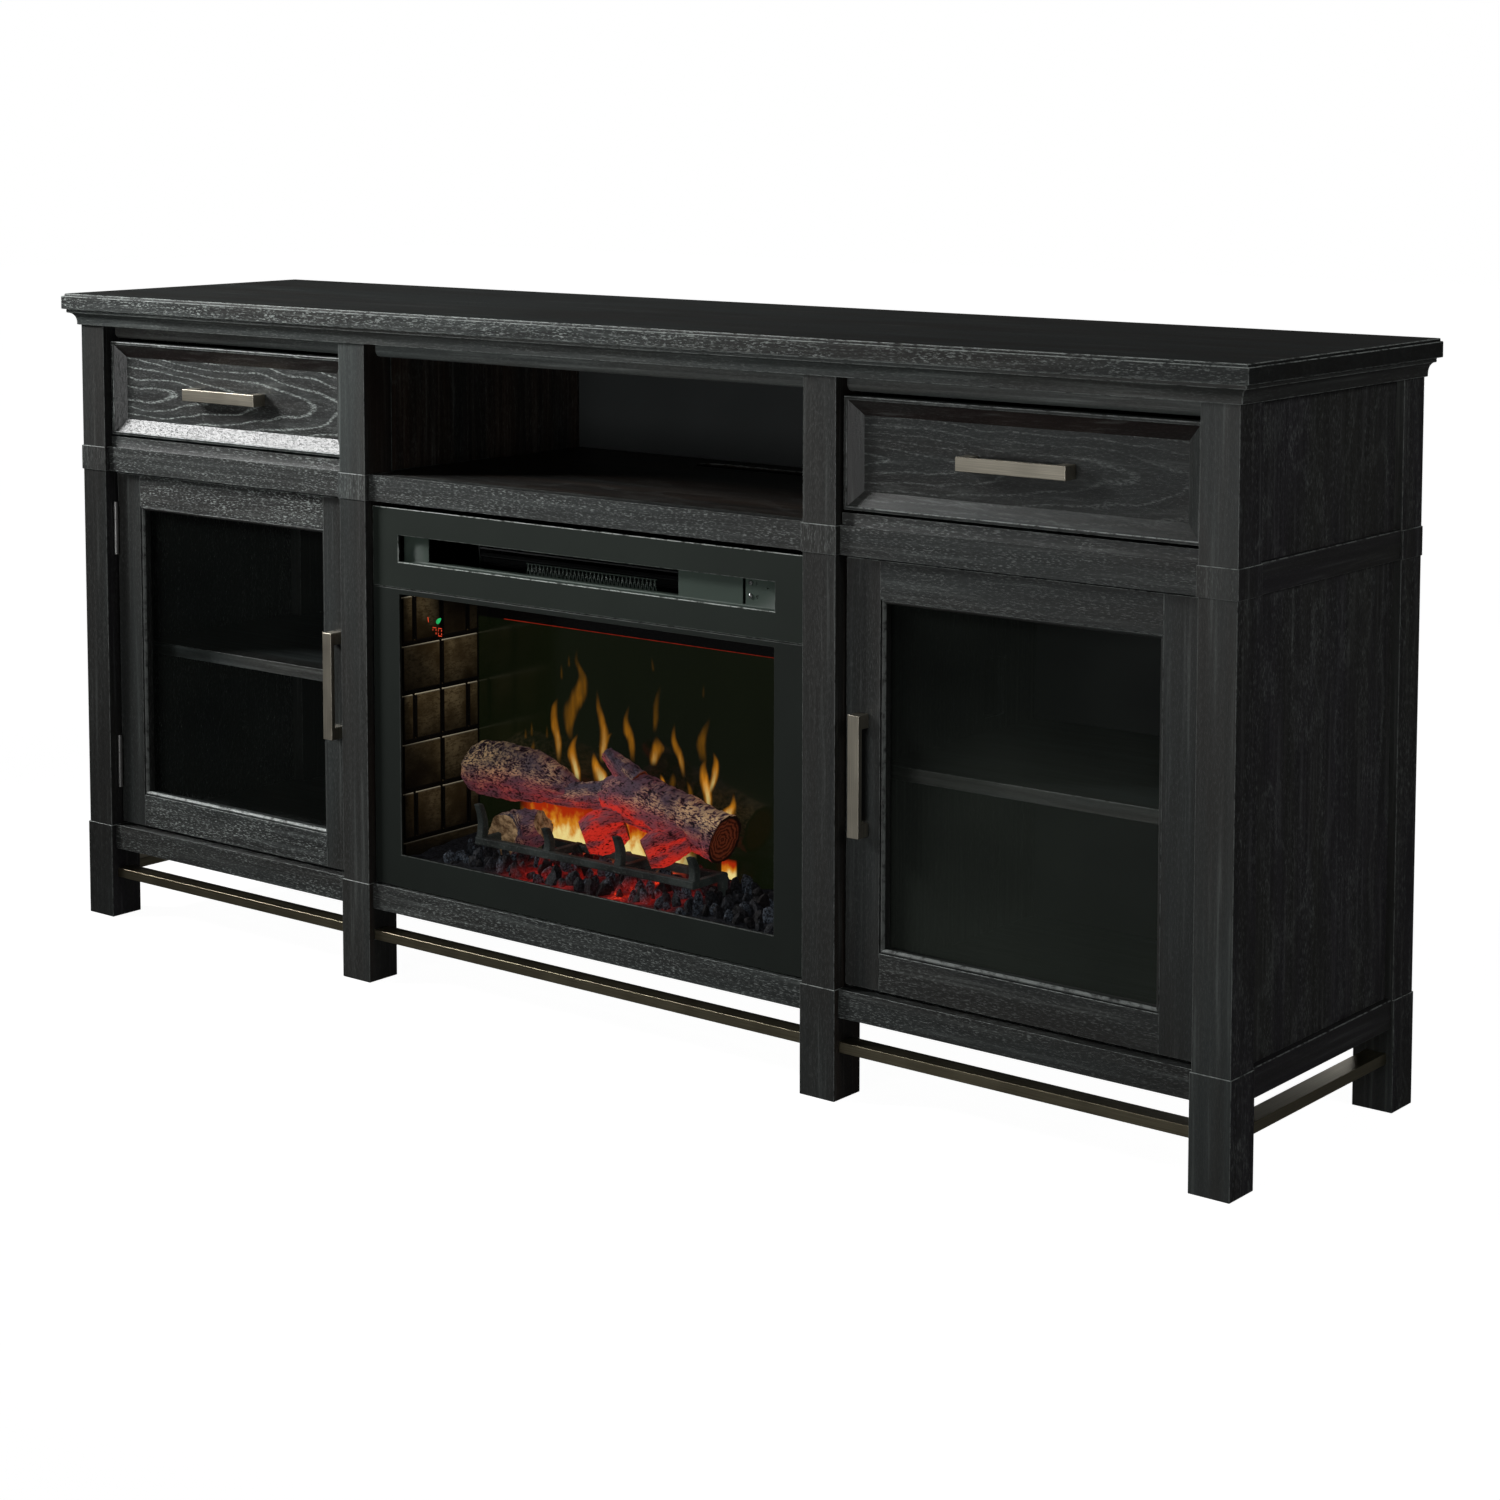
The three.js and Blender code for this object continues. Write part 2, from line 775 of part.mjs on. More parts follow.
function fixedLeaf(z0) {
  const knuckle = hingeHeight / 3;
  const plateX = outerFace - leafThickness;
  const strapX = hingeX + knuckleRadius - leafThickness;
  let leaf = leafPlate(plateX, z0);
  for (const start of [z0, z0 + 2 * knuckle]) {
    leaf = leaf.add(rod("z", knuckleRadius, start, start + knuckle, hingeX, hingeY));
    leaf = leaf.add(leafStrap(strapX, start, start + knuckle));
  }
  return leaf.add(rod("z", hingePinRadius, z0, z0 + hingeHeight, hingeX, hingeY));
}

function movingLeaf(z0) {
  const knuckle = hingeHeight / 3;
  const start = z0 + knuckle + knuckleGap;
  const end = z0 + 2 * knuckle - knuckleGap;
  let leaf = leafPlate(doorRight, z0);
  leaf = leaf.add(rod("z", knuckleRadius, start, end, hingeX, hingeY));
  leaf = leaf.add(leafStrap(doorRight, start, end));
  return leaf.subtract(rod("z", hingeBoreRadius, start - cutOverrun, end + cutOverrun, hingeX, hingeY));
}

// Firebox casing: fire chamber, heater space over it and an open base under its floor

const blowerX = (outletLeft + outletRight) / 2;
const blowerY = trimRear + blowerSetback;
const blowerZ = fireCeiling + casingWall + blowerRise;
const bracketRight = blowerX + blowerLength / 2 + bracketGap;
const bracketLeft = blowerX - blowerLength / 2 - bracketGap;

function casing() {
  const front = trimRear;
  let shell = block(-casingHalf, casingHalf, front, casingRear, baseRailTop, casingTop);
  const chamber = block(-chamberHalf, chamberHalf, front - cutOverrun, wallRear, casingFloor, fireCeiling);
  const heater = block(-chamberHalf, chamberHalf, front - cutOverrun, wallRear, fireCeiling + casingWall,
    casingTop - casingWall);
  const base = block(-chamberHalf, chamberHalf, front + casingWall, casingRear + cutOverrun,
    baseRailTop + casingWall, casingFloor - casingWall);
  shell = shell.subtract(chamber).subtract(heater).subtract(base);
  for (const x of [bracketLeft - bracketThickness, bracketRight]) {
    shell = shell.add(block(x, x + bracketThickness, blowerY - bracketHalf, blowerY + bracketHalf,
      fireCeiling, blowerZ + bracketHalf));
  }
  const motorStart = bracketRight + bracketThickness - spare;
  shell = shell.add(rod("x", motorRadius, motorStart, motorStart + motorLength, blowerY, blowerZ));
  const boreStart = bracketLeft - bracketThickness - cutOverrun;
  const boreEnd = bracketRight + bracketThickness + bracketGap;
  shell = shell.subtract(rod("x", blowerShaft + fitGap, boreStart, boreEnd, blowerY, blowerZ));
  const gland = rod("y", glandRadius, casingRear - cutOverrun, casingRear + glandLength,
    chamberHalf / 2, fireCeiling + casingWall + glandRadius * 2);
  return shell.add(gland);
}

function trimFrame() {
  const plate = block(-trimHalf, trimHalf, trimFront, trimRear, trimBottom, trimSeamHeight);
  const half = windowWidth / 2;
  const through = [trimFront - cutOverrun, trimRear + cutOverrun];
  return plate.subtract(block(-half, half, ...through, windowBottom, windowTop));
}

function heaterFascia() {
  const plate = block(-trimHalf, trimHalf, trimFront, trimRear, trimSeamHeight + trimSeam, trimTop);
  const half = slotWidth / 2;
  const through = [trimFront - cutOverrun, trimRear + cutOverrun];
  return plate.subtract(block(-half, half, ...through, slotBottom, slotTop));
}

function fireboxGlass() {
  const y0 = trimRear + paneClearance;
  const half = chamberHalf - fitGap;
  return block(-half, half, y0, y0 + paneThickness, casingFloor, fireCeiling - sideFit);
}

// Brick liner: two side walls and a back, with bricks in relief on the sides

// Where the upright joints of two neighbouring courses lie, as shares of the wall from front to screen
const jointShares = [[0.15, 0.51, 0.86], [0.51]];

function brickLiner() {
  const front = trimRear + paneClearance + paneThickness + paneClearance;
  const rear = wallRear - fitGap;
  const outer = chamberHalf - fitGap;
  const inner = outer - linerThickness + brickRelief;
  const top = fireCeiling - sideFit;
  const last = trimRear + screenSetback - bedGap;
  let liner = block(-outer, outer, rear - linerThickness, rear, casingFloor, top);
  for (const side of [-1, 1]) {
    const [x0, x1] = [side * inner, side * outer].sort((a, b) => a - b);
    liner = liner.add(block(x0, x1, front, rear, casingFloor, top));
    const [r0, r1] = [side * (inner - brickRelief), side * (inner + spare)].sort((a, b) => a - b);
    let row = 0;
    for (let z = casingFloor + firstCourse; z < top; z += brickCourse) {
      const ends = jointShares[row % jointShares.length].map((share) => front + share * (last - front));
      const starts = [front, ...ends.map((y) => y + brickJoint / 2)];
      const stops = [...ends.map((y) => y - brickJoint / 2), last];
      const z1 = Math.min(z + brickCourse - brickJoint, top);
      starts.forEach((y0, i) => {
        liner = liner.add(block(r0, r1, y0, stops[i], z, z1));
      });
      row += 1;
    }
    liner = liner.add(block(r0, r1, front, last, casingFloor, casingFloor + firstCourse - brickJoint));
  }
  return liner;
}

function flameScreen() {
  const half = chamberHalf - fitGap - linerThickness - fitGap;
  const y0 = trimRear + screenSetback;
  return block(-half, half, y0, y0 + screenThickness, casingFloor, fireCeiling - sideFit);
}

// Ember bed with rough top, logs resting on it, and the grate in front

function wave(a, b) {
  return (Math.sin(a * 2.3 + b * 1.7) + Math.sin(a * 4.1 - b * 3.1) + Math.cos(a * 1.3 + b * 5.3)) / 3;
}

const bedHalf = chamberHalf - fitGap - linerThickness - bedGap;
const bedFront = trimRear + bedSetback;
const bedRear = trimRear + screenSetback - bedGap;

function emberBed() {
  const columns = 60;
  const rows = 8;
  const top = (i, j) => {
    const x = (i / columns - 1 / 2) * 2 * bedHalf;
    const y = bedFront + (j / rows) * (bedRear - bedFront);
    const rise = bedFrontHeight + (bedRearHeight - bedFrontHeight) * (j / rows);
    return [x, y, casingFloor + rise + bedBumps * wave(i, j)];
  };
  const flat = (i, j) => [top(i, j)[0], top(i, j)[1], casingFloor];
  const corners = [];
  const quad = (a, b, c, d) => corners.push(...a, ...b, ...c, ...a, ...c, ...d);
  for (let i = 0; i < columns; i++) {
    for (let j = 0; j < rows; j++) {
      quad(top(i, j), top(i + 1, j), top(i + 1, j + 1), top(i, j + 1));
      quad(flat(i, j), flat(i, j + 1), flat(i + 1, j + 1), flat(i + 1, j));
    }
    quad(flat(i, 0), flat(i + 1, 0), top(i + 1, 0), top(i, 0));
    quad(top(i, rows), top(i + 1, rows), flat(i + 1, rows), flat(i, rows));
  }
  for (let j = 0; j < rows; j++) {
    quad(flat(0, j + 1), flat(0, j), top(0, j), top(0, j + 1));
    quad(flat(columns, j), flat(columns, j + 1), top(columns, j + 1), top(columns, j));
  }
  const geometry = new THREE.BufferGeometry();
  geometry.setAttribute("position", new THREE.Float32BufferAttribute(corners, 3));
  return solidOf(geometry);
}

// Each log: stations of place along, place back and height, as shares of the reach, the plank and the rise,
// and the radius there as a share of the log radius
const leftLogShares = [
  [-0.614, 0.742, 0.727, 0.97], [-0.512, 0.742, 0.72, 1.0], [-0.393, 0.734, 0.713, 0.94],
  [-0.298, 0.726, 0.673, 0.78], [-0.238, 0.71, 0.64, 0.5],
];
const middleLogShares = [
  [-0.36, 0.72, 0.62, 0.47], [-0.238, 0.7, 0.62, 0.47], [-0.119, 0.7, 0.66, 0.53],
  [-0.04, 0.7, 0.707, 0.69],
];
const rightLogShares = [
  [-0.095, 0.71, 0.747, 0.75], [0.0, 0.71, 0.787, 0.97], [0.105, 0.726, 0.713, 0.94],
  [0.224, 0.734, 0.6, 0.84], [0.32, 0.742, 0.52, 0.84],
];
const stubShares = [[-0.01, 0.7, 0.9, 0.44], [-0.071, 0.7, 0.98, 0.34], [-0.11, 0.7, 1.02, 0.25]];
const leftSplitShares = [
  [-0.448, 0.468, 0.32, 0.84], [-0.333, 0.5, 0.353, 0.81], [-0.219, 0.532, 0.387, 0.69],
];
const middleSplitShares = [
  [-0.1, 0.29, 0.333, 0.69], [-0.071, 0.42, 0.413, 0.81], [-0.024, 0.556, 0.507, 0.69],
];
const rightSplitShares = [
  [0.114, 0.306, 0.333, 0.59], [0.143, 0.435, 0.4, 0.69], [0.186, 0.565, 0.48, 0.59],
];

function logOf(shares) {
  const sides = 12;
  const front = trimRear + screenSetback - logPlank;
  const middles = shares.map(([along, back, up]) => new THREE.Vector3(
    along * logReach,
    front + back * logPlank,
    casingFloor + up * logRise,
  ));
  const rings = middles.map((middle, i) => {
    const before = middles[Math.max(i - 1, 0)];
    const after = middles[Math.min(i + 1, middles.length - 1)];
    const ahead = after.clone().sub(before).normalize();
    const across = new THREE.Vector3(0, 0, 1).cross(ahead).normalize();
    const upward = ahead.clone().cross(across);
    const radius = shares[i][3] * logRadius;
    return Array.from({ length: sides }, (_, k) => {
      const turn = (k / sides) * 2 * Math.PI;
      const rough = radius * (1 + wave(i + k, k) / 20);
      const point = middle.clone();
      point.addScaledVector(across, rough * Math.cos(turn));
      point.addScaledVector(upward, rough * Math.sin(turn));
      return point.toArray();
    });
  });
  return skinned(rings);
}

function grate() {
  const y0 = trimRear + grateSetback;
  const left = grateShift - grateWidth / 2;
  const railZ = casingFloor + grateRailHeight;
  const rear = y0 + logPlank / 2;
  let solid = block(left, left + grateWidth, y0, y0 + grateBar, railZ, railZ + grateBar);
  const horns = 4;
  const hornTop = casingFloor + grateHornHeight;
  for (let i = 0; i < horns; i++) {
    const x = left + (i / (horns - 1)) * (grateWidth - grateBar);
    solid = solid.add(block(x, x + grateBar, y0, y0 + grateBar, railZ + spare, hornTop));
    solid = solid.add(block(x, x + grateBar, y0 + spare, rear, railZ + spare, railZ + grateBar - spare));
    solid = solid.add(block(x, x + grateBar, rear - grateBar, rear, casingFloor, railZ + grateBar - spare));
  }
  return solid;
}

function logSet() {
  let solid = emberBed();
  const logs = [leftLogShares, middleLogShares, rightLogShares, stubShares];
  const splits = [leftSplitShares, middleSplitShares, rightSplitShares];
  for (const shares of [...logs, ...splits]) {
    solid = solid.add(logOf(shares));
  }
  return solid.add(grate());
}

// Heater panel behind the fascia slot: air outlet with its grille, and the plate that holds the buttons

const panelFront = trimFront + panelSetback;
const panelRear = panelFront + panelSheet;
const upperButtonZ = slotBottom + upperButtonRise;
const lowerButtonZ = slotBottom + lowerButtonRise;

// A strip of zigzag wire between two heights, across the middle of the outlet
function outletMesh(z0) {
  const y0 = panelRear + meshSetback;
  const y1 = y0 + meshWire;
  let mesh = block(meshLeft, meshRight, y0, y1, z0 + meshHeight - meshWire, z0 + meshHeight);
  const slant = meshPitch / 2;
  for (let x = meshLeft; x + meshPitch <= meshRight; x += meshPitch) {
    for (const lean of [slant, -slant]) {
      const foot = lean > 0 ? x : x + meshPitch - meshWire;
      const wire = [[foot, z0 - spare], [foot + meshWire, z0 - spare]];
      const head = z0 + meshHeight - meshWire / 2;
      const outline = [...wire, [foot + lean + meshWire, head], [foot + lean, head]];
      mesh = mesh.add(alongY(outline, y0, y1));
    }
  }
  return mesh;
}

function heaterPanel() {
  const half = slotWidth / 2 + panelLap;
  const z0 = slotBottom - panelLip;
  const z1 = slotTop + panelLip;
  let panel = block(-half, half, panelFront, panelRear, z0, z1);
  const floorRear = panelRear + meshSetback + meshWire;
  panel = panel.add(block(-half, half, trimRear, floorRear, z0, slotBottom));
  panel = panel.add(block(-half, half, trimRear, panelRear, slotTop, z1));
  const openBottom = slotBottom + outletMargin;
  const openTop = slotTop - outletMargin;
  const through = [panelFront - cutOverrun, panelRear + cutOverrun];
  for (const [x0, x1] of [[outletLeft, outletRight], [seamLeft, seamRight]]) {
    panel = panel.subtract(block(x0, x1, ...through, openBottom, openTop));
  }
  panel = panel.add(outletMesh(slotBottom));
  const blind = [panelFront - cutOverrun, panelRear - panelSheet / 2];
  for (const z of [upperButtonZ, lowerButtonZ]) {
    panel = panel.subtract(rod("y", buttonRadius + fitGap, ...through, buttonX, z));
    panel = panel.subtract(rod("y", socketRadius, ...blind, socketX, z));
  }
  return panel.subtract(rod("y", sensorRadius, ...through, sensorX, slotBottom + sensorRise));
}

// A push button: a low dome in front of the plate and a flange that holds it from behind
function pushButton(z) {
  const dome = buttonRadius / 3;
  const shoulder = panelFront - buttonReach + dome;
  const rear = panelRear + fitGap;
  const points = [
    [0, panelFront - buttonReach],
    [buttonRadius * 0.6, panelFront - buttonReach + dome / 4],
    [buttonRadius, shoulder],
    [buttonRadius, rear],
    [buttonFlange, rear],
    [buttonFlange, rear + buttonFlangeThickness],
    [0, rear + buttonFlangeThickness],
  ].map(([r, y]) => new THREE.Vector2(r, y));
  const geometry = new THREE.LatheGeometry(points, roundSides);
  geometry.translate(buttonX, 0, z);
  return solidOf(geometry);
}

// Cross-flow blower wheel on its shaft

function blowerWheel() {
  const x0 = blowerX - blowerLength / 2;
  const x1 = blowerX + blowerLength / 2;
  const shaftStart = bracketLeft - bracketThickness;
  const shaftEnd = bracketRight + bracketThickness + bracketGap - spare;
  let wheel = rod("x", blowerShaft, shaftStart, shaftEnd, blowerY, blowerZ);
  wheel = wheel.add(rod("x", blowerRadius, x0, x0 + blowerDisc, blowerY, blowerZ));
  wheel = wheel.add(rod("x", blowerRadius, x1 - blowerDisc, x1, blowerY, blowerZ));
  for (let i = 0; i < bladeCount; i++) {
    const turn = (i / bladeCount) * 2 * Math.PI;
    const geometry = new THREE.BoxGeometry(blowerLength - blowerDisc, bladeThickness, blowerBlade);
    geometry.translate(0, 0, blowerRadius - blowerBlade / 2 - blowerDisc / 2);
    geometry.rotateX(turn);
    geometry.translate(blowerX, blowerY, blowerZ);
    wheel = wheel.add(solidOf(geometry));
  }
  return wheel;
}

// Stretcher bars

function frontBar() {
  const rear = frontBarInset + barWidth;
  return block(-outerBlock, outerBlock, frontBarInset, rear, barBottom, barBottom + barHeight);
}

function sideBaseRail() {
  return block(panelInside, sideRailFace, postDepth, rearPostFront, baseRailBottom, baseRailTop);
}

function sideBar() {
  const x1 = halfWidth - sideBarInset;
  return block(x1 - barWidth, x1, postDepth, rearPostFront, barBottom, barBottom + barHeight);
}

// Assembly

add("top_slab", topSlab(), "wood");
add("cornice_moulding", cornice(), "wood");
add("frieze_rail", friezeRail(), "wood");
add("belt_rail", beltRail(), "wood");
add("base_rail", baseRail(), "wood");
addPair("front_post", post(outerFace, halfWidth, 0, postDepth, -blockProud), "wood");
addPair("inner_post", innerPost(), "wood");
addPair("rear_post", post(outerFace, halfWidth, rearPostFront, caseDepth, rearPostFront), "wood");
addPair("side_panel", sidePanel(), "wood");
addPair("side_belt", block(panelFace, sideRailFace, postDepth, rearPostFront, beltBottom, beltTop), "wood");
addPair("side_base_rail", sideBaseRail(), "wood");
addPair("partition", partition(), "insideWood");
add("deck", deck(), "insideWood");
add("bottom_panel", floorBoard(baseRailTop - bottomThickness, baseRailTop), "insideWood");
add("back_panel", backPanel(), "backBoard");
addPair("shelf", shelf(), "insideWood");
add("front_stretcher", frontBar(), "bronze");
addPair("side_stretcher", sideBar(), "bronze");
addPair("drawer_front", drawerFront(), "wood");
addPair("drawer_box", drawerBox(), "insideWood");
addPair("drawer_track", drawerTrack(), "insideWood");
addPair("drawer_pull", drawerPull(), "nickel");
addPair("door_frame", doorFrame(), "wood");
addPair("door_glass", doorGlass(), "glass");
addPair("door_pull", doorPull(), "nickel");
addPair("hinge_fixed_leaf", fixedLeaf(upperHingeBottom), "steel", "_upper");
addPair("hinge_moving_leaf", movingLeaf(upperHingeBottom), "steel", "_upper");
addPair("hinge_fixed_leaf", fixedLeaf(lowerHingeBottom), "steel", "_lower");
addPair("hinge_moving_leaf", movingLeaf(lowerHingeBottom), "steel", "_lower");
add("firebox_casing", casing(), "blackSteel");
add("firebox_trim", trimFrame(), "blackSteel");
add("heater_fascia", heaterFascia(), "blackSteel");
add("heater_panel", heaterPanel(), "greyPanel");
add("firebox_glass", fireboxGlass(), "glass");
add("brick_liner", brickLiner(), "brick");
add("flame_screen", flameScreen(), "screen");
add("log_set", logSet(), "ember");
add("blower_wheel", blowerWheel(), "fan");
add("power_button", pushButton(upperButtonZ), "button");
add("mode_button", pushButton(lowerButtonZ), "button");

const stand = new THREE.Group();
caseGroup.position.y = -(slabRear - slabOverhang) / 2;
stand.add(caseGroup);

export default stand;
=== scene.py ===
"""Fireplace media console: the finish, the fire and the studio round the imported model."""

import json
import math
import random

import bmesh
import bpy
from mathutils import Matrix, Vector, noise


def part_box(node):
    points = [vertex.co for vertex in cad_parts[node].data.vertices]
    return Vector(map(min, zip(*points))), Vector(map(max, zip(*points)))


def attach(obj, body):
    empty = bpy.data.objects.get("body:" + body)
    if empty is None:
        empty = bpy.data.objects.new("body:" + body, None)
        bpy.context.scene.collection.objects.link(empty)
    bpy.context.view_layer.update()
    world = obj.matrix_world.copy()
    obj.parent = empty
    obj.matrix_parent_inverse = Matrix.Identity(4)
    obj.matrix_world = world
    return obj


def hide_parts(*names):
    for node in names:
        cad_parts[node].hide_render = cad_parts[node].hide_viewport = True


bl_info = {
    "name": "Fireplace media console",
    "version": (1, 0, 0),
    "blender": (4, 5, 0),
    "location": "View3D > Sidebar > Console",
    "description": "Dresses the packed console in worn oak, metal, glass and a lit log fire",
    "category": "Object",
}

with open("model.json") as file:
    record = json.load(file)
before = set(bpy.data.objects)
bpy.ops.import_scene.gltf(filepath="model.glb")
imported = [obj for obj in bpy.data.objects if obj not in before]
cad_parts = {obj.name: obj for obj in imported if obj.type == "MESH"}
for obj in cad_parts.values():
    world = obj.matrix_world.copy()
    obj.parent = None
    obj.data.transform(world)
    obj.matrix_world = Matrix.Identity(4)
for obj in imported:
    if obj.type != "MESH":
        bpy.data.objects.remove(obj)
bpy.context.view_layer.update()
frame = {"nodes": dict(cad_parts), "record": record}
BODIES = frame["record"]["behaviour"]["bodies"]
BODY_OF = {node: body for body, nodes in BODIES.items() for node in nodes}
SIDES = ("right", "left")
MM = 0.001

BLACK = (0.0, 0.0, 0.0, 1.0)
PITCH = (0.002, 0.0018, 0.002, 1.0)

# The posts' blocks stand proud of the posts by this much
BLOCK_STEP = 1.5 * MM
# Width of a drawer front's frame, from its rim to the sunk panel
PANEL_INSET = 18 * MM
# The logs' bark: points round each log, and rows between two stations
LOG_SIDES = 56
LOG_ROWS = 14

# The camera, fitted to corner points: its place in metres, its turns about Z, down and about its own axis
# in degrees, and the shift of its picture
CAMERA_PLACE = (2.2711, -2.74555, 1.0636)
CAMERA_TURNS = (39.619, 5.076, -0.078)
CAMERA_SHIFT = (0.05, -0.25)

# Places that the frame gives
CASE_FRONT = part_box("inner_post_right")[0].y + BLOCK_STEP
SCREEN_LOW, SCREEN_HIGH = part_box("flame_screen")
PANE_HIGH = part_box("firebox_glass")[1]
FIRE_FLOOR = SCREEN_LOW.z
# The lamp strip's lower edge, where the screen turns black
LAMP_STRIP = SCREEN_HIGH.z - 51 * MM


def shade(red, green, blue):
    """A colour written in the 0 to 255 steps of a paint card, as the linear values that Blender keeps"""

    def linear(step):
        part = step / 255
        return part / 12.92 if part <= 0.04045 else ((part + 0.055) / 1.055) ** 2.4

    return (linear(red), linear(green), linear(blue), 1.0)


def limited(value, low=0.0, high=1.0):
    """A value kept between two limits"""
    return max(low, min(high, value))


def between(pair, share):
    """The value at a share of the way from the first of a pair to the second"""
    return pair[0] + (pair[1] - pair[0]) * share


def colour_setting(name, about, red, green, blue):
    return bpy.props.FloatVectorProperty(
        name=name,
        description=about,
        subtype="COLOR",
        size=4,
        min=0.0,
        max=1.0,
        default=shade(red, green, blue),
    )


def number_setting(name, about, value, **kind):
    return bpy.props.FloatProperty(name=name, description=about, default=value, min=0.0, **kind)


def length_setting(name, about, millimetres):
    return number_setting(name, about, millimetres * MM, subtype="DISTANCE", unit="LENGTH")


def share_setting(name, about, share):
    return number_setting(name, about, share, subtype="FACTOR")


def power_setting(name, about, watts):
    return number_setting(name, about, watts, subtype="POWER", unit="POWER")


class ConsoleFinish(bpy.types.PropertyGroup):
    """Colours of the console's surfaces"""

    stain: colour_setting("Stain", "Dark stain on the oak", 53, 57, 56)
    undertone: colour_setting("Undertone", "Duller tone that shows through the stain", 49, 49, 47)
    side_stain: colour_setting("Side stain", "Stain on the side panels", 50, 48, 52)
    fleck: colour_setting("Fleck", "Pale filler left in the open pores", 176, 184, 180)
    # The worn edge colour also paints the highlights on edges that face up
    worn_and_highlit_edge: colour_setting("Worn edge", "Where the stain is rubbed through", 196, 204, 200)
    inside_stain: colour_setting("Inside stain", "Stain inside the case", 66, 74, 74)
    bay_stain: colour_setting("Bay stain", "Brown stain inside the media bay", 62, 50, 42)
    # Painted shade on the drawers' top bevels, which face down
    bevel_shade: colour_setting("Bevel stain", "Stain gathered in the drawers' bevels", 40, 32, 30)
    back_board: colour_setting("Back board", "Painted board at the rear", 40, 43, 43)
    nickel: colour_setting("Nickel", "Brushed pulls", 206, 199, 182)
    bronze: colour_setting("Bronze", "Stretcher bars", 168, 159, 134)
    steel: colour_setting("Steel", "Hinges", 172, 172, 170)
    firebox_black: colour_setting("Firebox black", "Powder coat of the firebox", 32, 39, 34)
    # Rubbed steel also paints the highlights on the firebox's edges that face up
    rubbed_and_highlit_steel: colour_setting("Rubbed steel", "Edges of the firebox where the coat is thin", 214, 222, 216)
    panel_grey: colour_setting("Panel grey", "Plate behind the heater slot", 62, 74, 67)
    glass_tint: colour_setting("Glass tint", "Smoke in the door glass", 8, 11, 11)
    brick: colour_setting("Brick", "Face of the bricks", 110, 95, 68)
    # Painted highlight along each brick's upper arris
    brick_highlight: colour_setting("Brick edge", "Light arris of each brick", 236, 222, 190)
    mortar: colour_setting("Mortar", "Joints of the brickwork", 12, 8, 5)
    bark_light: colour_setting("Pale bark", "Crests of the bark", 212, 186, 138)
    bark_grey: colour_setting("Grey bark", "Body of the bark", 66, 68, 80)
    bark_dark: colour_setting("Dark bark", "Cracks of the bark", 24, 18, 22)
    ember_red: colour_setting("Ember red", "Glow under the logs", 160, 24, 17)
    flame_orange: colour_setting("Flame orange", "Body of the flames", 222, 140, 32)
    flame_pale: colour_setting("Flame heart", "Brightest part of the flames", 255, 232, 150)
    # The screen's colour is painted as its own glow
    screen_green: colour_setting("Screen", "Dark mirror behind the fire", 13, 18, 5)


class ConsoleSizes(bpy.types.PropertyGroup):
    """Small sizes that the finish adds to the solid parts"""

    board_edge: length_setting("Board edge", "Rounding worn on the edges of the boards", 1.0)
    metal_edge: length_setting("Metal edge", "Rounding on pulls and bars", 0.7)
    sheet_edge: length_setting("Sheet edge", "Rounding on folded sheet", 0.45)
    plate_edge: length_setting("Plate edge", "Rounding on the firebox trim", 1.0)
    brick_arris: length_setting("Brick arris", "Rounding on the bricks", 2.2)
    bark_depth: length_setting("Bark depth", "Depth of the cracks in the bark", 1.8)
    ember_size: length_setting("Ember size", "Radius of a middling ember", 9.0)


class ConsoleStage(bpy.types.PropertyGroup):
    """Studio light and camera"""

    key_power: power_setting("Key light", "Small bright light high at the left", 6.7)
    front_power: power_setting("Front light", "Low wide light in front", 3.5)
    side_power: power_setting("Side light", "Light on the right side", 2.2)
    back_power: power_setting("Back light", "Low light behind, which the photographed side doesn't see", 4.0)
    ambient: share_setting("Ambient", "Light from all round", 0.015)
    reflection: share_setting("Backdrop in gloss", "How bright gloss sees the backdrop", 0.04)
    backdrop: share_setting("Backdrop", "Light that the camera sees in the floor near the case", 0.97)
    floor: colour_setting("Floor", "Studio floor as it lights the case", 158, 158, 158)
    focal_length: number_setting("Focal length", "In millimetres, for a 36 mm frame", 73.17)


# Shader building


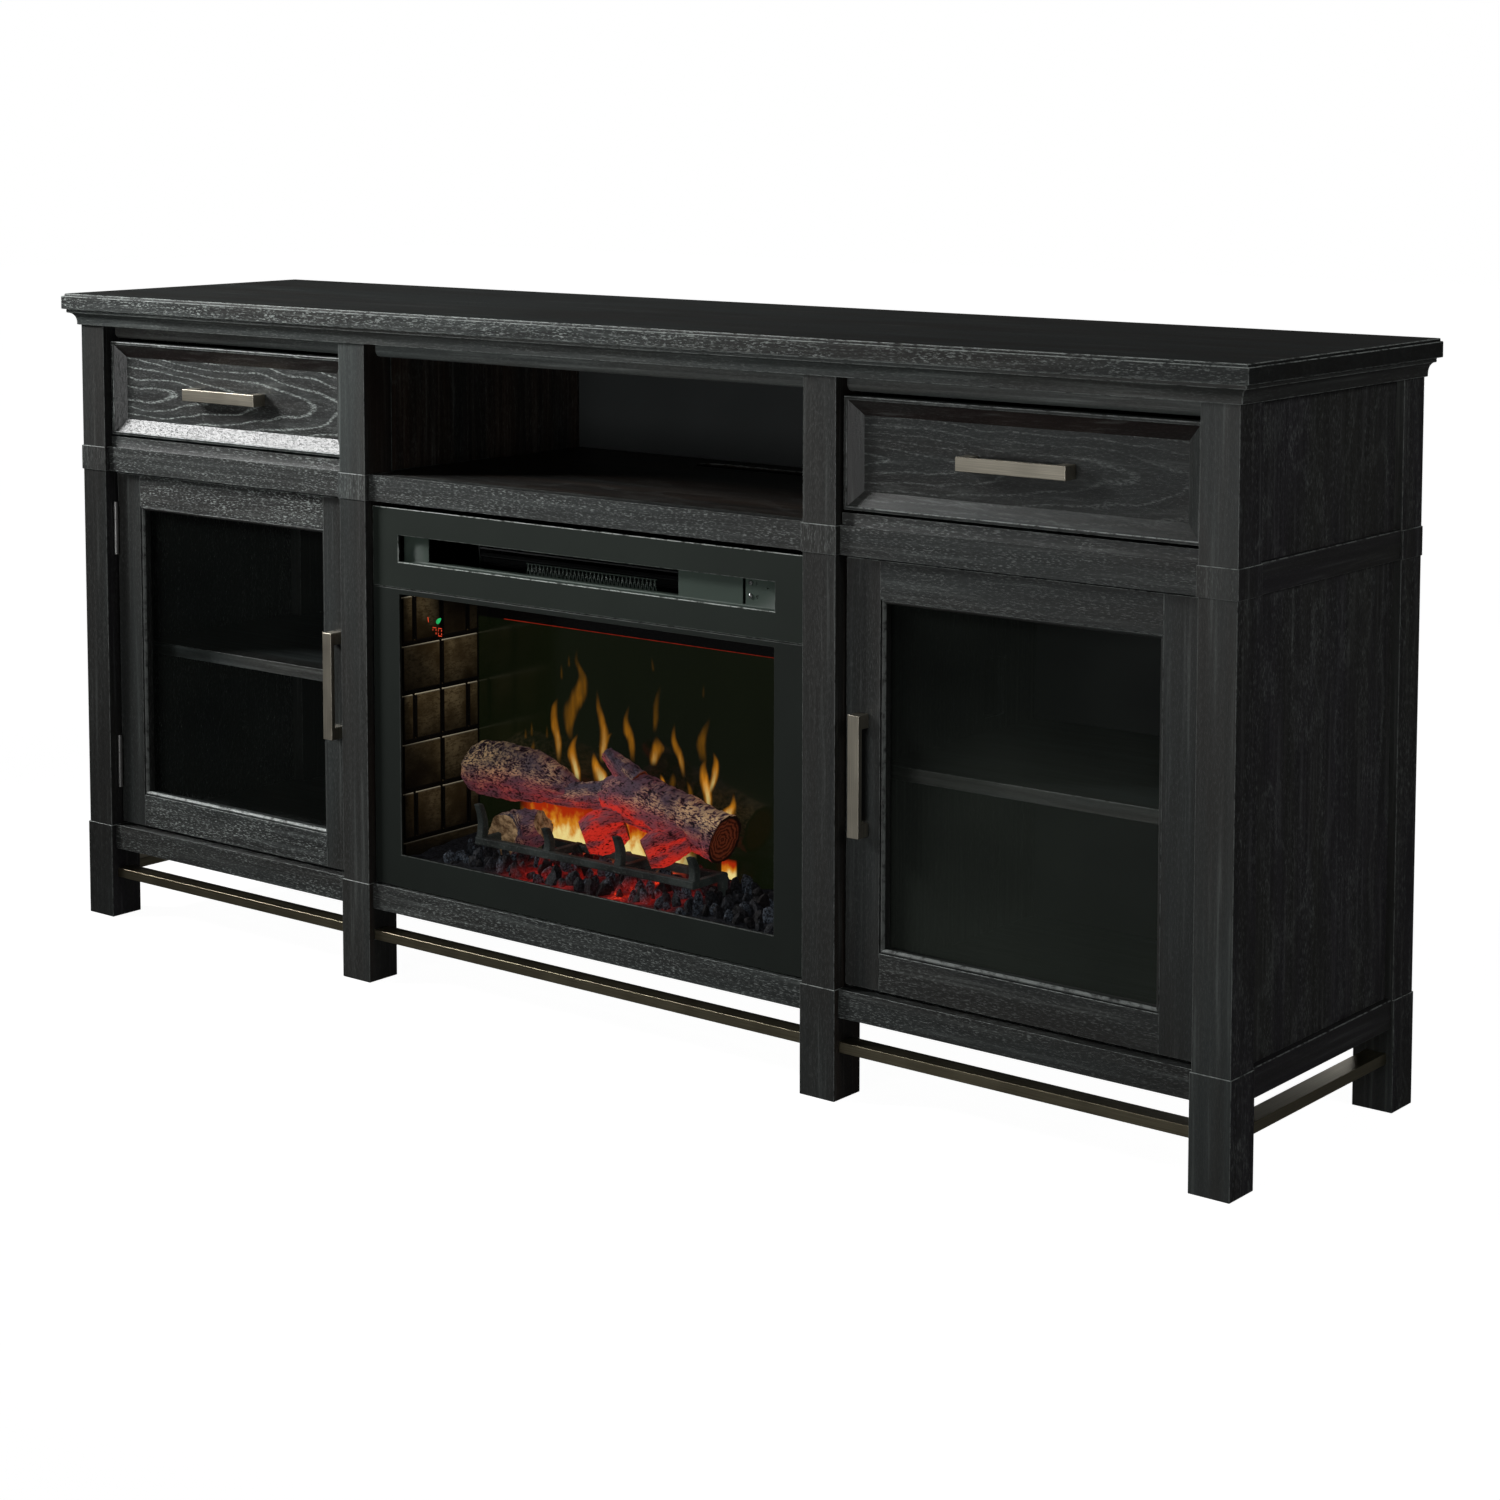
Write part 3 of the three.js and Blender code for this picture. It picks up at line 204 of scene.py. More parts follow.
class Graph:
    """Adds nodes to one tree and joins them"""

    def __init__(self, tree):
        self.tree = tree

    def node(self, kind, settings=None, **inputs):
        made = self.tree.nodes.new(kind)
        for key, value in (settings or {}).items():
            setattr(made, key, value)
        for key, value in inputs.items():
            self.feed(made.inputs[key.replace("_", " ")], value)
        return made

    def feed(self, socket, value):
        if isinstance(value, bpy.types.NodeSocket):
            self.tree.links.new(value, socket)
        elif value is not None:
            socket.default_value = value

    def mul_add(self, value, factor, shift):
        return self.math("MULTIPLY_ADD", value, factor, shift)

    def math(self, operation, first, second=None, third=None, clamp=False):
        made = self.tree.nodes.new("ShaderNodeMath")
        made.operation = operation
        made.use_clamp = clamp
        for socket, value in zip(made.inputs, (first, second, third)):
            self.feed(socket, value)
        return made.outputs[0]

    def times(self, first, second, clamp=False):
        return self.math("MULTIPLY", first, second, clamp=clamp)

    def plus(self, first, second, clamp=False):
        return self.math("ADD", first, second, clamp=clamp)

    def noise(self, vector, stretch=None, scale=1.0, detail=2.0, roughness=0.5, distortion=0.0):
        """Soft noise; a stretch scales its three directions apart"""
        if stretch:
            scaled = self.node("ShaderNodeVectorMath", {"operation": "MULTIPLY"})
            self.feed(scaled.inputs[0], vector)
            self.feed(scaled.inputs[1], stretch)
            vector = scaled.outputs[0]
        made = self.node(
            "ShaderNodeTexNoise",
            Vector=vector,
            Scale=scale,
            Detail=detail,
            Roughness=roughness,
            Distortion=distortion,
        )
        return made.outputs["Fac"]

    def ramp(self, value, low, high, to_low=0.0, to_high=1.0):
        made = self.tree.nodes.new("ShaderNodeMapRange")
        made.interpolation_type = "SMOOTHSTEP"
        for socket, given in zip(made.inputs, (value, low, high, to_low, to_high)):
            self.feed(socket, given)
        return made.outputs[0]

    def blend(self, share, first, second, mode="MIX"):
        made = self.tree.nodes.new("ShaderNodeMix")
        made.data_type = "RGBA"
        made.blend_type = mode
        self.feed(made.inputs[0], share)
        self.feed(made.inputs[6], first)
        self.feed(made.inputs[7], second)
        return made.outputs[2]

    def fade(self, value, low, high, first, second):
        """From the first colour to the second as a value rises"""
        return self.blend(self.ramp(value, low, high), first, second)

    def tint(self, colour, by):
        return self.blend(1.0, colour, by, "MULTIPLY")

    def attribute(self, name, output="Fac"):
        return self.node("ShaderNodeAttribute", {"attribute_name": name}).outputs[output]

    def split(self, vector):
        return self.node("ShaderNodeSeparateXYZ", Vector=vector).outputs

    def group(self, name, **inputs):
        made = self.tree.nodes.new("ShaderNodeGroup")
        made.node_tree = bpy.data.node_groups[name]
        for key, value in inputs.items():
            self.feed(made.inputs[key.replace("_", " ")], value)
        return made.outputs


KINDS = {"vector": "NodeSocketVector", "value": "NodeSocketFloat", "colour": "NodeSocketColor"}


def new_group(name, inputs, outputs):
    """An empty shader group with named sockets; returns its graph, its inputs and its outputs"""
    tree = bpy.data.node_groups.new(name, "ShaderNodeTree")
    for label, kind in inputs:
        tree.interface.new_socket(name=label, in_out="INPUT", socket_type=KINDS[kind])
    for label, kind in outputs:
        tree.interface.new_socket(name=label, in_out="OUTPUT", socket_type=KINDS[kind])
    graph = Graph(tree)
    return graph, graph.node("NodeGroupInput").outputs, graph.node("NodeGroupOutput").inputs


def from_heart(graph, grain):
    """Distance from the heart of the tree"""
    parts = graph.split(grain)
    squared = graph.plus(graph.math("POWER", parts[1], 2.0), graph.math("POWER", parts[2], 2.0))
    return graph.math("SQRT", squared)


def oak_group():
    """Wire-brushed oak: growth rings round the heart, and open pores filled pale along the grain"""
    inputs = [
        ("Grain", "vector"),
        ("Stain", "colour"),
        ("Undertone", "colour"),
        ("Fleck", "colour"),
        ("Fleck Amount", "value"),
        ("Ring Share", "value"),
    ]
    outputs = [("Color", "colour"), ("Roughness", "value"), ("Height", "value")]
    graph, given, result = new_group("Oak Grain", inputs, outputs)
    grain = given["Grain"]
    slow = graph.noise(grain, (2.2, 22.0, 22.0), detail=3.0)
    sway = graph.noise(grain, (6.0, 15.0, 15.0), detail=2.0)
    fine = graph.noise(grain, (170.0, 820.0, 820.0), detail=3.0, roughness=0.6)
    cloud = graph.noise(grain, (10.0, 60.0, 60.0), detail=2.0)
    streak = graph.noise(grain, (5.0, 170.0, 170.0), detail=3.0, roughness=0.6)

    # Pale pores: in thin lines along the growth rings, and loose between them
    rings_in_metre = 118.0
    radius = from_heart(graph, grain)
    rings = graph.mul_add(radius, rings_in_metre, graph.times(sway, 3.6))
    line = graph.ramp(graph.math("PINGPONG", rings, 0.5), 0.36, 0.49)
    ringed = graph.times(line, graph.ramp(fine, 0.42, 0.6, 0.1, 1.0))
    specks = graph.ramp(fine, 0.54, 0.64)
    loose = graph.times(specks, graph.ramp(cloud, 0.35, 0.65, 0.3, 1.0))
    share = given["Ring Share"]
    loose = graph.times(loose, graph.mul_add(share, -0.8, 1.0))
    where = graph.mul_add(ringed, share, loose)
    # The pore share carries painted glint as well as the open pores
    pores = graph.attribute("open_grain")
    flecks = graph.times(where, graph.times(given["Fleck Amount"], pores), clamp=True)

    # Stain: slow changes of tone, dark streaks and fine dark grain
    body = graph.fade(slow, 0.35, 0.68, given["Stain"], given["Undertone"])
    marked = graph.mul_add(pores, 0.35, 0.2)
    body = graph.blend(graph.times(graph.ramp(streak, 0.35, 0.6, 1.0, 0.0), marked), body, PITCH)
    body = graph.blend(graph.ramp(fine, 0.3, 0.5, 0.2, 0.0), body, PITCH)
    body = graph.blend(graph.ramp(streak, 0.55, 0.75, 0.0, 0.1), body, given["Fleck"])
    # Painted light and shade: the tone attribute makes each face lighter or darker as the light falls on it
    body = graph.tint(body, graph.plus(graph.attribute("tone"), 1.0))

    smooth = graph.mul_add(pores, 0.1, 0.22)
    graph.feed(result["Color"], graph.blend(flecks, body, given["Fleck"]))
    graph.feed(result["Roughness"], graph.mul_add(fine, 0.2, smooth))
    graph.feed(result["Height"], graph.mul_add(streak, 0.6, graph.times(specks, -0.4)))


def wear_and_highlight_group():
    """Edges rubbed pale, with painted highlights where they face up: the mask follows the worn attribute,
    broken up along its length
    """
    graph, given, result = new_group(
        "Edge Wear",
        [("Position", "vector"), ("Base", "colour"), ("Rubbed", "colour"), ("Amount", "value")],
        [("Color", "colour"), ("Mask", "value")],
    )
    worn = graph.attribute("worn")
    broken = graph.ramp(graph.noise(given["Position"], scale=90.0, detail=4.0, roughness=0.7), 0.34, 0.56)
    mask = graph.times(worn, graph.times(broken, given["Amount"]), clamp=True)
    graph.feed(result["Color"], graph.blend(mask, given["Base"], given["Rubbed"]))
    graph.feed(result["Mask"], mask)


def brushed_group():
    """Fine parallel brush lines on metal"""
    graph, given, result = new_group(
        "Brushed Metal",
        [("Grain", "vector"), ("Metal", "colour"), ("Rough", "value")],
        [("Color", "colour"), ("Roughness", "value"), ("Height", "value")],
    )
    lines = graph.noise(given["Grain"], (14.0, 1600.0, 1600.0), detail=2.0)
    cloud = graph.noise(given["Grain"], scale=30.0, detail=3.0)
    dark = graph.tint(given["Metal"], (0.72, 0.72, 0.72, 1.0))
    graph.feed(result["Color"], graph.fade(lines, 0.3, 0.75, dark, given["Metal"]))
    graph.feed(result["Roughness"], graph.mul_add(cloud, 0.16, given["Rough"]))
    graph.feed(result["Height"], lines)


def dust_group():
    """A fine even speckle, for powder coat and moulded plastic"""
    graph, given, result = new_group(
        "Powder Coat",
        [("Position", "vector"), ("Coat", "colour"), ("Rough", "value")],
        [("Color", "colour"), ("Roughness", "value"), ("Height", "value")],
    )
    speckle = graph.noise(given["Position"], scale=2200.0, detail=2.0)
    cloud = graph.noise(given["Position"], scale=9.0, detail=3.0)
    light = graph.tint(given["Coat"], (1.5, 1.5, 1.5, 1.0))
    graph.feed(result["Color"], graph.blend(graph.ramp(cloud, 0.3, 0.8, 0.0, 0.5), given["Coat"], light))
    graph.feed(result["Roughness"], graph.mul_add(speckle, 0.14, given["Rough"]))
    graph.feed(result["Height"], speckle)


def new_material(name, metallic=0.0, specular=0.5, emission=0.0, alpha=None):
    """A material with an empty Principled shader; returns its graph and the shader's sockets"""
    if name in bpy.data.materials:
        raise ValueError(f"a material named {name} is there already")
    made = bpy.data.materials.new(name)
    made.use_nodes = True
    graph = Graph(made.node_tree)
    sockets = made.node_tree.nodes["Principled BSDF"].inputs
    sockets["Metallic"].default_value = metallic
    sockets["Specular IOR Level"].default_value = specular
    sockets["Emission Strength"].default_value = emission
    if alpha is not None:
        sockets["Alpha"].default_value = alpha
    return graph, sockets


def surface(graph, sockets, colour, rough, light=None):
    """Joins colour, roughness and own light to the shader, where a plain value is set on its socket"""
    graph.feed(sockets["Base Color"], colour)
    graph.feed(sockets["Roughness"], rough)
    graph.feed(sockets["Emission Color"], light)


def bumped(graph, sockets, height, distance, strength=1.0):
    bump = graph.node("ShaderNodeBump", Height=height, Distance=distance, Strength=strength)
    graph.feed(sockets["Normal"], bump.outputs["Normal"])


def position(graph):
    return graph.node("ShaderNodeTexCoord").outputs["Object"]


def oak_material(name, colours, stain, fleck_amount, ring_share, wear, specular, rough_shift=0.0):
    graph, sockets = new_material(name, specular=specular)
    oak = graph.group(
        "Oak Grain",
        Grain=graph.attribute("grain", "Vector"),
        Stain=stain,
        Undertone=colours.undertone,
        Fleck=colours.fleck,
        Fleck_Amount=fleck_amount,
        Ring_Share=ring_share,
    )
    worn = graph.group(
        "Edge Wear", Position=position(graph), Base=oak["Color"], Rubbed=colours.worn_and_highlit_edge, Amount=wear
    )
    surface(graph, sockets, worn["Color"], graph.plus(oak["Roughness"], rough_shift))
    bumped(graph, sockets, oak["Height"], 0.25 * MM, 0.7)


def brushed_material(name, colour, rough):
    graph, sockets = new_material(name, metallic=1.0)
    metal = graph.group("Brushed Metal", Grain=graph.attribute("grain", "Vector"), Metal=colour, Rough=rough)
    surface(graph, sockets, metal["Color"], metal["Roughness"])
    bumped(graph, sockets, metal["Height"], 0.05 * MM, 0.5)


def coated_material(name, colour, rough, specular=0.5, rubbed=None, wear=0.0):
    graph, sockets = new_material(name, specular=specular)
    place = position(graph)
    coat = graph.group("Powder Coat", Position=place, Coat=colour, Rough=rough)
    worn = graph.group("Edge Wear", Position=place, Base=coat["Color"], Rubbed=rubbed or colour, Amount=wear)
    surface(graph, sockets, worn["Color"], coat["Roughness"])
    bumped(graph, sockets, coat["Height"], 0.06 * MM, 0.4)


def glass_material(name, colour, smear_and_reflection, alpha, specular):
    """Thin tinted glass: see-through by its alpha, with a faint film wiped across it, stronger to the right,
    and a painted pale reflection low down at the right
    """
    graph, sockets = new_material(name, specular=specular, alpha=alpha)
    place = position(graph)
    film = graph.noise(place, (3.0, 3.0, 5.0), detail=2.0)
    parts = graph.split(place)
    # Painted reflection: a pale haze low down towards the right, and the film stronger to the right
    low = graph.times(graph.ramp(parts[2], 0.2, 0.5, 1.0, 0.1), graph.ramp(parts[0], -0.3, 0.5, 0.1, 1.0))
    clouds = graph.times(graph.ramp(film, 0.35, 0.75, 0.0, 0.35), graph.ramp(parts[0], -0.5, 0.5, 0.2, 1.0))
    film_and_reflection = graph.plus(clouds, graph.times(low, 0.65))
    surface(graph, sockets, graph.blend(film_and_reflection, colour, smear_and_reflection), 0.04)


def brick_material(colours):
    """Rough moulded brick, with a painted highlight along each upper arris, and painted light and shadow from
    the lit mask in its colour and in a painted glow of its own
    """
    graph, sockets = new_material("firebrick", specular=0.15, emission=0.6)
    place = position(graph)
    grit = graph.noise(place, (1.0, 1.0, 2.6), scale=170.0, detail=4.0, roughness=0.7)
    tone = graph.noise(place, scale=22.0, detail=3.0)
    dark = graph.tint(colours.brick, (0.27, 0.23, 0.17, 1.0))
    face = graph.fade(tone, 0.35, 0.65, dark, colours.brick)
    face = graph.blend(graph.ramp(grit, 0.45, 0.62, 0.0, 0.85), face, dark)
    face = graph.blend(graph.attribute("worn"), face, colours.brick_highlight)
    face = graph.blend(graph.attribute("joint"), face, colours.mortar)
    lit = graph.attribute("lit")
    # Painted light: the lit mask darkens the colour and sets a glow of the brick's own colour
    surface(graph, sockets, graph.blend(lit, colours.mortar, face), 0.85, graph.blend(lit, BLACK, face))
    bumped(graph, sockets, grit, 1.2 * MM, 1.0)


def screen_material(colours):
    """Dark half-mirror, its colour painted as a glow of its own: deep green below the lamp strip, black above
    it
    """
    graph, sockets = new_material("flame_mirror", specular=0.5, emission=1.0)
    place = position(graph)
    above = graph.math("GREATER_THAN", graph.split(place)[2], LAMP_STRIP)
    haze = graph.noise(place, scale=5.0, detail=2.0)
    low = graph.tint(colours.screen_green, (0.6, 0.65, 0.6, 1.0))
    green = graph.fade(haze, 0.3, 0.7, low, colours.screen_green)
    painted_glow = graph.blend(above, green, (0.0004, 0.0003, 0.0003, 1.0))
    surface(graph, sockets, (0.001, 0.001, 0.001, 1.0), 0.15, painted_glow)
    sockets["IOR"].default_value = 1.75


def log_material(colours):
    """Moulded bark: fine pale crackle over a grey-blue body, a painted glow of its own colour, and painted
    red firelight from below
    """
    graph, sockets = new_material("log_bark", specular=0.15, emission=1.0)
    bark = graph.attribute("grain", "Vector")
    crackle = graph.noise(bark, (250.0, 600.0, 600.0), detail=3.0, roughness=0.6, distortion=0.5)
    cloud = graph.noise(bark, (26.0, 60.0, 60.0), detail=3.0)
    crest = graph.mul_add(graph.attribute("crest"), 0.1, crackle)
    body = graph.fade(crest, 0.4, 0.58, colours.bark_dark, colours.bark_grey)
    patch = graph.plus(graph.attribute("pale"), graph.ramp(cloud, 0.3, 0.7, -0.5, 0.35), clamp=True)
    pale = graph.times(graph.ramp(crest, 0.5, 0.66), patch)
    body = graph.blend(pale, body, colours.bark_light)
    # Painted firelight: red in the base colour and in the glow where the share is high
    firelight_and_glow = graph.times(graph.attribute("ember_heat"), graph.ramp(cloud, 0.3, 0.65, 0.35, 1.1))
    body = graph.blend(graph.ramp(firelight_and_glow, 0.5, 1.4, 0.0, 0.9), body, shade(54, 10, 10))
    red = graph.fade(crest, 0.44, 0.56, shade(36, 6, 9), shade(156, 48, 46))
    hot = graph.fade(crest, 0.42, 0.54, shade(58, 8, 9), shade(206, 44, 32))
    red = graph.fade(firelight_and_glow, 0.7, 1.5, red, hot)
    painted_glow = graph.blend(0.32, BLACK, body)
    light = graph.blend(graph.times(firelight_and_glow, 0.85, clamp=True), painted_glow, red)
    surface(graph, sockets, body, 0.8, light)
    bumped(graph, sockets, crackle, 0.9 * MM, 1.0)


def end_grain_material():
    """Sawn and split faces of the logs, with a painted glow of their own colour"""
    graph, sockets = new_material("log_end", specular=0.15, emission=1.0)
    grain = graph.attribute("grain", "Vector")
    radius = from_heart(graph, grain)
    rough = graph.noise(grain, scale=130.0, detail=4.0, roughness=0.7)
    rings = graph.math("PINGPONG", graph.mul_add(radius, 190.0, graph.times(rough, 1.6)), 0.5)
    wood = graph.fade(rings, 0.05, 0.4, shade(62, 24, 14), shade(122, 56, 34))
    rim = graph.ramp(radius, 23 * MM, 26 * MM)
    wood = graph.blend(rim, wood, shade(30, 16, 12))
    tan = graph.fade(rough, 0.35, 0.65, shade(86, 62, 42), shade(172, 142, 106))
    wood = graph.blend(graph.attribute("pale"), wood, tan)
    surface(graph, sockets, wood, 0.8, graph.blend(0.36, BLACK, wood))
    bumped(graph, sockets, rough, 0.8 * MM, 1.0)


def ember_material(colours):
    """Lumps of coal and ash, with a painted glow of their own colour and red light in the gaps"""
    graph, sockets = new_material("embers", specular=0.25, emission=1.0)
    place = position(graph)
    grit = graph.noise(place, scale=380.0, detail=4.0, roughness=0.7)
    cloud = graph.noise(place, scale=70.0, detail=3.0)
    ash = graph.fade(grit, 0.42, 0.62, shade(17, 18, 22), shade(80, 88, 98))
    coal = graph.fade(grit, 0.5, 0.7, shade(9, 7, 8), shade(34, 26, 26))
    ash = graph.blend(graph.attribute("pale"), coal, ash)
    firelight_and_glow = graph.times(graph.attribute("ember_heat"), graph.ramp(cloud, 0.3, 0.6, 0.2, 1.0))
    firelight_and_glow = graph.times(firelight_and_glow, graph.ramp(grit, 0.3, 0.6, 0.5, 1.0))
    red = graph.fade(firelight_and_glow, 0.6, 1.1, colours.ember_red, shade(255, 66, 34))
    painted_glow = graph.blend(0.3, BLACK, ash)
    light = graph.blend(graph.times(firelight_and_glow, 1.0, clamp=True), painted_glow, red)
    surface(graph, sockets, ash, 0.7, light)
    bumped(graph, sockets, grit, 0.8 * MM, 0.9)


def iron_material():
    """Cast grate, dusted with ash, with a painted glow of its own colour"""
    graph, sockets = new_material("grate_iron", specular=0.25, emission=1.0)
    place = position(graph)
    grit = graph.noise(place, scale=340.0, detail=4.0, roughness=0.7)
    tone = graph.noise(place, scale=24.0, detail=2.0)
    body = graph.fade(tone, 0.3, 0.7, shade(24, 27, 26), shade(54, 60, 58))
    body = graph.blend(graph.ramp(grit, 0.5, 0.8, 0.0, 0.6), body, shade(96, 98, 92))
    surface(graph, sockets, body, 0.65, graph.blend(0.25, BLACK, body))
    bumped(graph, sockets, grit, 0.5 * MM, 0.8)


def flame_material(colours):
    """Projected flame: hot heart, orange body, and an edge that fades out"""
    graph, sockets = new_material("flame_light", specular=0.0, emission=1.0)
    across = graph.attribute("across")
    along = graph.attribute("along")
    bright = graph.attribute("bright")
    lick = graph.noise(position(graph), (120.0, 1.0, 30.0), detail=3.0)
    wide = graph.mul_add(lick, 0.5, graph.math("SUBTRACT", across, 0.25))
    edge = graph.math("SUBTRACT", 1.0, wide, clamp=True)
    body = graph.times(graph.ramp(edge, 0.0, 0.85), graph.ramp(lick, 0.3, 0.6, 1.0, 0.6))
    foot = graph.ramp(along, 0.0, 0.25)
    tip = graph.ramp(along, 0.45, 1.0, 1.0, 0.0)
    mask = graph.times(graph.times(body, bright), graph.times(foot, tip))
    heart = graph.times(graph.ramp(edge, 0.35, 0.9), graph.ramp(along, 0.1, 0.6, 1.0, 0.0))
    heart = graph.times(heart, graph.ramp(bright, 0.6, 1.0))
    colour = graph.fade(bright, 0.3, 1.0, shade(150, 98, 20), colours.flame_orange)
    surface(graph, sockets, BLACK, 0.5, graph.blend(heart, colour, colours.flame_pale))
    graph.feed(sockets["Alpha"], graph.times(mask, 1.0, clamp=True))


def glow_material(colours):
    """Bright heart of the fire, seen through the gaps under the logs"""
    graph, sockets = new_material("fire_glow", specular=0.0, emission=1.0)
    along = graph.attribute("along")
    lick = graph.noise(position(graph), (85.0, 1.0, 55.0), detail=4.0)
    firelight_and_glow = graph.mul_add(lick, 0.8, graph.times(along, -0.75))
    colour = graph.fade(firelight_and_glow, -0.2, 0.08, shade(176, 46, 12), colours.flame_orange)
    colour = graph.fade(firelight_and_glow, 0.02, 0.3, colour, colours.flame_pale)
    surface(graph, sockets, BLACK, 0.5, colour)
    graph.feed(sockets["Alpha"], graph.attribute("bright"))


def light_material(name, colour, strength):
    """A small lit mark, a little uneven"""
    graph, sockets = new_material(name, specular=0.0, emission=strength)
    uneven = graph.noise(position(graph), scale=120.0, detail=1.0)
    dim = graph.tint(colour, (0.6, 0.6, 0.6, 1.0))
    surface(graph, sockets, BLACK, 0.5, graph.fade(uneven, 0.3, 0.7, dim, colour))


# Mesh building


def new_piece(name, mesh, body, materials, replaces=(), smooth=False):
    data = bpy.data.meshes.new(name)
    mesh.to_mesh(data)
    mesh.free()
    for face in data.polygons:
        face.use_smooth = smooth
    piece = bpy.data.objects.new(name, data)
    bpy.context.scene.collection.objects.link(piece)
    for material in materials:
        data.materials.append(bpy.data.materials[material])
    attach(piece, body)
    if replaces:
        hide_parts(*replaces)
    return piece


def eased(mesh, width, sharpest=0.5, plain=0.3, hollow=0.35):
    """Rounds the outward edges, marks how far each new face is worn, with more painted highlight the more it
    faces up, and keeps the hollow edges sharp
    """
    worn = mesh.loops.layers.float.get("worn") or mesh.loops.layers.float.new("worn")
    edges = [e for e in mesh.edges if e.is_manifold and e.is_convex and e.calc_face_angle(0.0) > sharpest]
    shape = {"offset_type": "OFFSET", "segments": 2, "profile": 0.5, "affect": "EDGES", "clamp_overlap": True}
    rounded = bmesh.ops.bevel(mesh, geom=edges, offset=width, **shape)
    mesh.normal_update()
    new_faces = set(rounded["faces"])
    for face in new_faces:
        for loop in face.loops:
            # Painted highlight: a face that looks up is marked paler, on top of the plain wear
            loop[worn] = limited(plain + face.normal.z, plain)
    for edge in mesh.edges:
        if len(edge.link_faces) == 2 and not new_faces.intersection(edge.link_faces):
            edge.smooth = edge.calc_face_angle(0.0) < hollow


def cut_apart(mesh, point, normal):
    """Saws a board in two closed boards along a plane"""
    plane = Vector(normal).normalized()
    start = Vector(point)
    everything = mesh.verts[:] + mesh.edges[:] + mesh.faces[:]
    bmesh.ops.bisect_plane(mesh, geom=everything, plane_co=start, plane_no=plane, dist=1e-6)
    on_plane = [e for e in mesh.edges if all(abs((v.co - start).dot(plane)) < 2e-6 for v in e.verts)]
    bmesh.ops.split_edges(mesh, edges=on_plane)
    rims = [e for e in mesh.edges if e.is_boundary]
    bmesh.ops.holes_fill(mesh, edges=rims, sides=0)
    bmesh.ops.recalc_face_normals(mesh, faces=mesh.faces)


AXES = {"x": (0, 1, 2), "y": (1, 0, 2), "z": (2, 0, 1)}


def lay_grain(mesh, along, heart):
    """Writes the grain's coordinates: distance along it, and across it from the heart of the tree"""
    layer = mesh.loops.layers.float_vector.new("grain")
    for face in mesh.faces:
        axis = along(face) if callable(along) else along
        first, second, third = AXES[axis]
        for loop in face.loops:
            place = loop.vert.co
            loop[layer] = (place[first] + heart[0], place[second] + heart[1], place[third] + heart[2])


def board_mesh(node):
    mesh = bmesh.new()
    mesh.from_mesh(frame["nodes"][node].data)
    bmesh.ops.remove_doubles(mesh, verts=mesh.verts, dist=2e-6)
    bmesh.ops.dissolve_limit(
        mesh, angle_limit=math.radians(0.5), use_dissolve_boundaries=False, verts=mesh.verts, edges=mesh.edges
    )
    return mesh


def paint(mesh, layer_name, share):
    """Writes a share on the faces for which the rule gives one"""
    layer = mesh.loops.layers.float.get(layer_name) or mesh.loops.layers.float.new(layer_name)
    for face in mesh.faces:
        value = share(face)
        if value is not None:
            for loop in face.loops:
                loop[layer] = value


def painted_glint_share(x):
    """Painted glint: the pale pores show more towards the left end"""
    return limited(0.72 - 0.45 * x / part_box("top_slab")[1].x, 0.3)


def dressed(
    node,
    material,
    slot,
    along,
    width,
    heart=(0.0, 0.16, 0.11),
    cuts=(),
    bend=None,
    open_grain=1.0,
    other=None,
    tone=None,
    rubbed=None,
    plain=0.3,
    mesh=None,
):
    """A copy of a solid part with eased edges, its grain laid, and a share of open pores with painted glint
    on each face
    """
    mesh = mesh or board_mesh(node)
    for point, normal in cuts:
        cut_apart(mesh, point, normal)
    layer = mesh.loops.layers.float.new("open_grain")
    for face in mesh.faces:
        share = open_grain(face) if callable(open_grain) else open_grain
        for loop in face.loops:
            loop[layer] = share * painted_glint_share(loop.vert.co.x)
        if other and other[1](face):
            face.material_index = 1
    # Painted light and shade, face by face, go on as the tone attribute
    if tone:
        paint(mesh, "tone", tone)
    eased(mesh, width, plain=plain)
    if rubbed:
        paint(mesh, "worn", rubbed)
    # Each board is sawn from its own length of the tree, a little off the others' distance from its heart
    number = sorted(frame["nodes"]).index(node)
    moved = (heart[0] + number * 1.37, heart[1] + 0.011 * (number % 5), heart[2] + 0.017 * (number % 7))
    lay_grain(mesh, along, moved if bend is None else heart)
    if bend:
        layer = mesh.loops.layers.float_vector["grain"]
        for face in mesh.faces:
            for loop in face.loops:
                loop[layer] = bend(Vector(loop[layer]))
    finishes = [material, other[0]] if other else [material]
    piece = new_piece(node + "_finish", mesh, BODY_OF[node], finishes, [node], smooth=True)
    shine = piece.modifiers.new("even shading", "WEIGHTED_NORMAL")
    shine.keep_sharp = True
    return piece


def bare(node, material):
    """A solid part that keeps its own shape and takes one material"""
    data = frame["nodes"][node].data
    data.materials.clear()
    data.materials.append(bpy.data.materials[material])


def flat_face(mesh, y, points):
    """One flat face that looks to the front, from its corners across and up, in millimetres"""
    mesh.faces.new([mesh.verts.new((x * MM, y, z * MM)) for x, z in points])


def woven(mesh, columns, layers):
    """Faces between columns of points; each point is a vertex and its value for each layer"""
    for one, other in zip(columns, columns[1:]):
        for k in range(len(one) - 1):
            picks = (one[k], other[k], other[k + 1], one[k + 1])
            face = mesh.faces.new([pick[0] for pick in picks])
            for loop, pick in zip(face.loops, picks):
                for layer, value in zip(layers, pick[1:]):
                    loop[layer] = value


# Operators


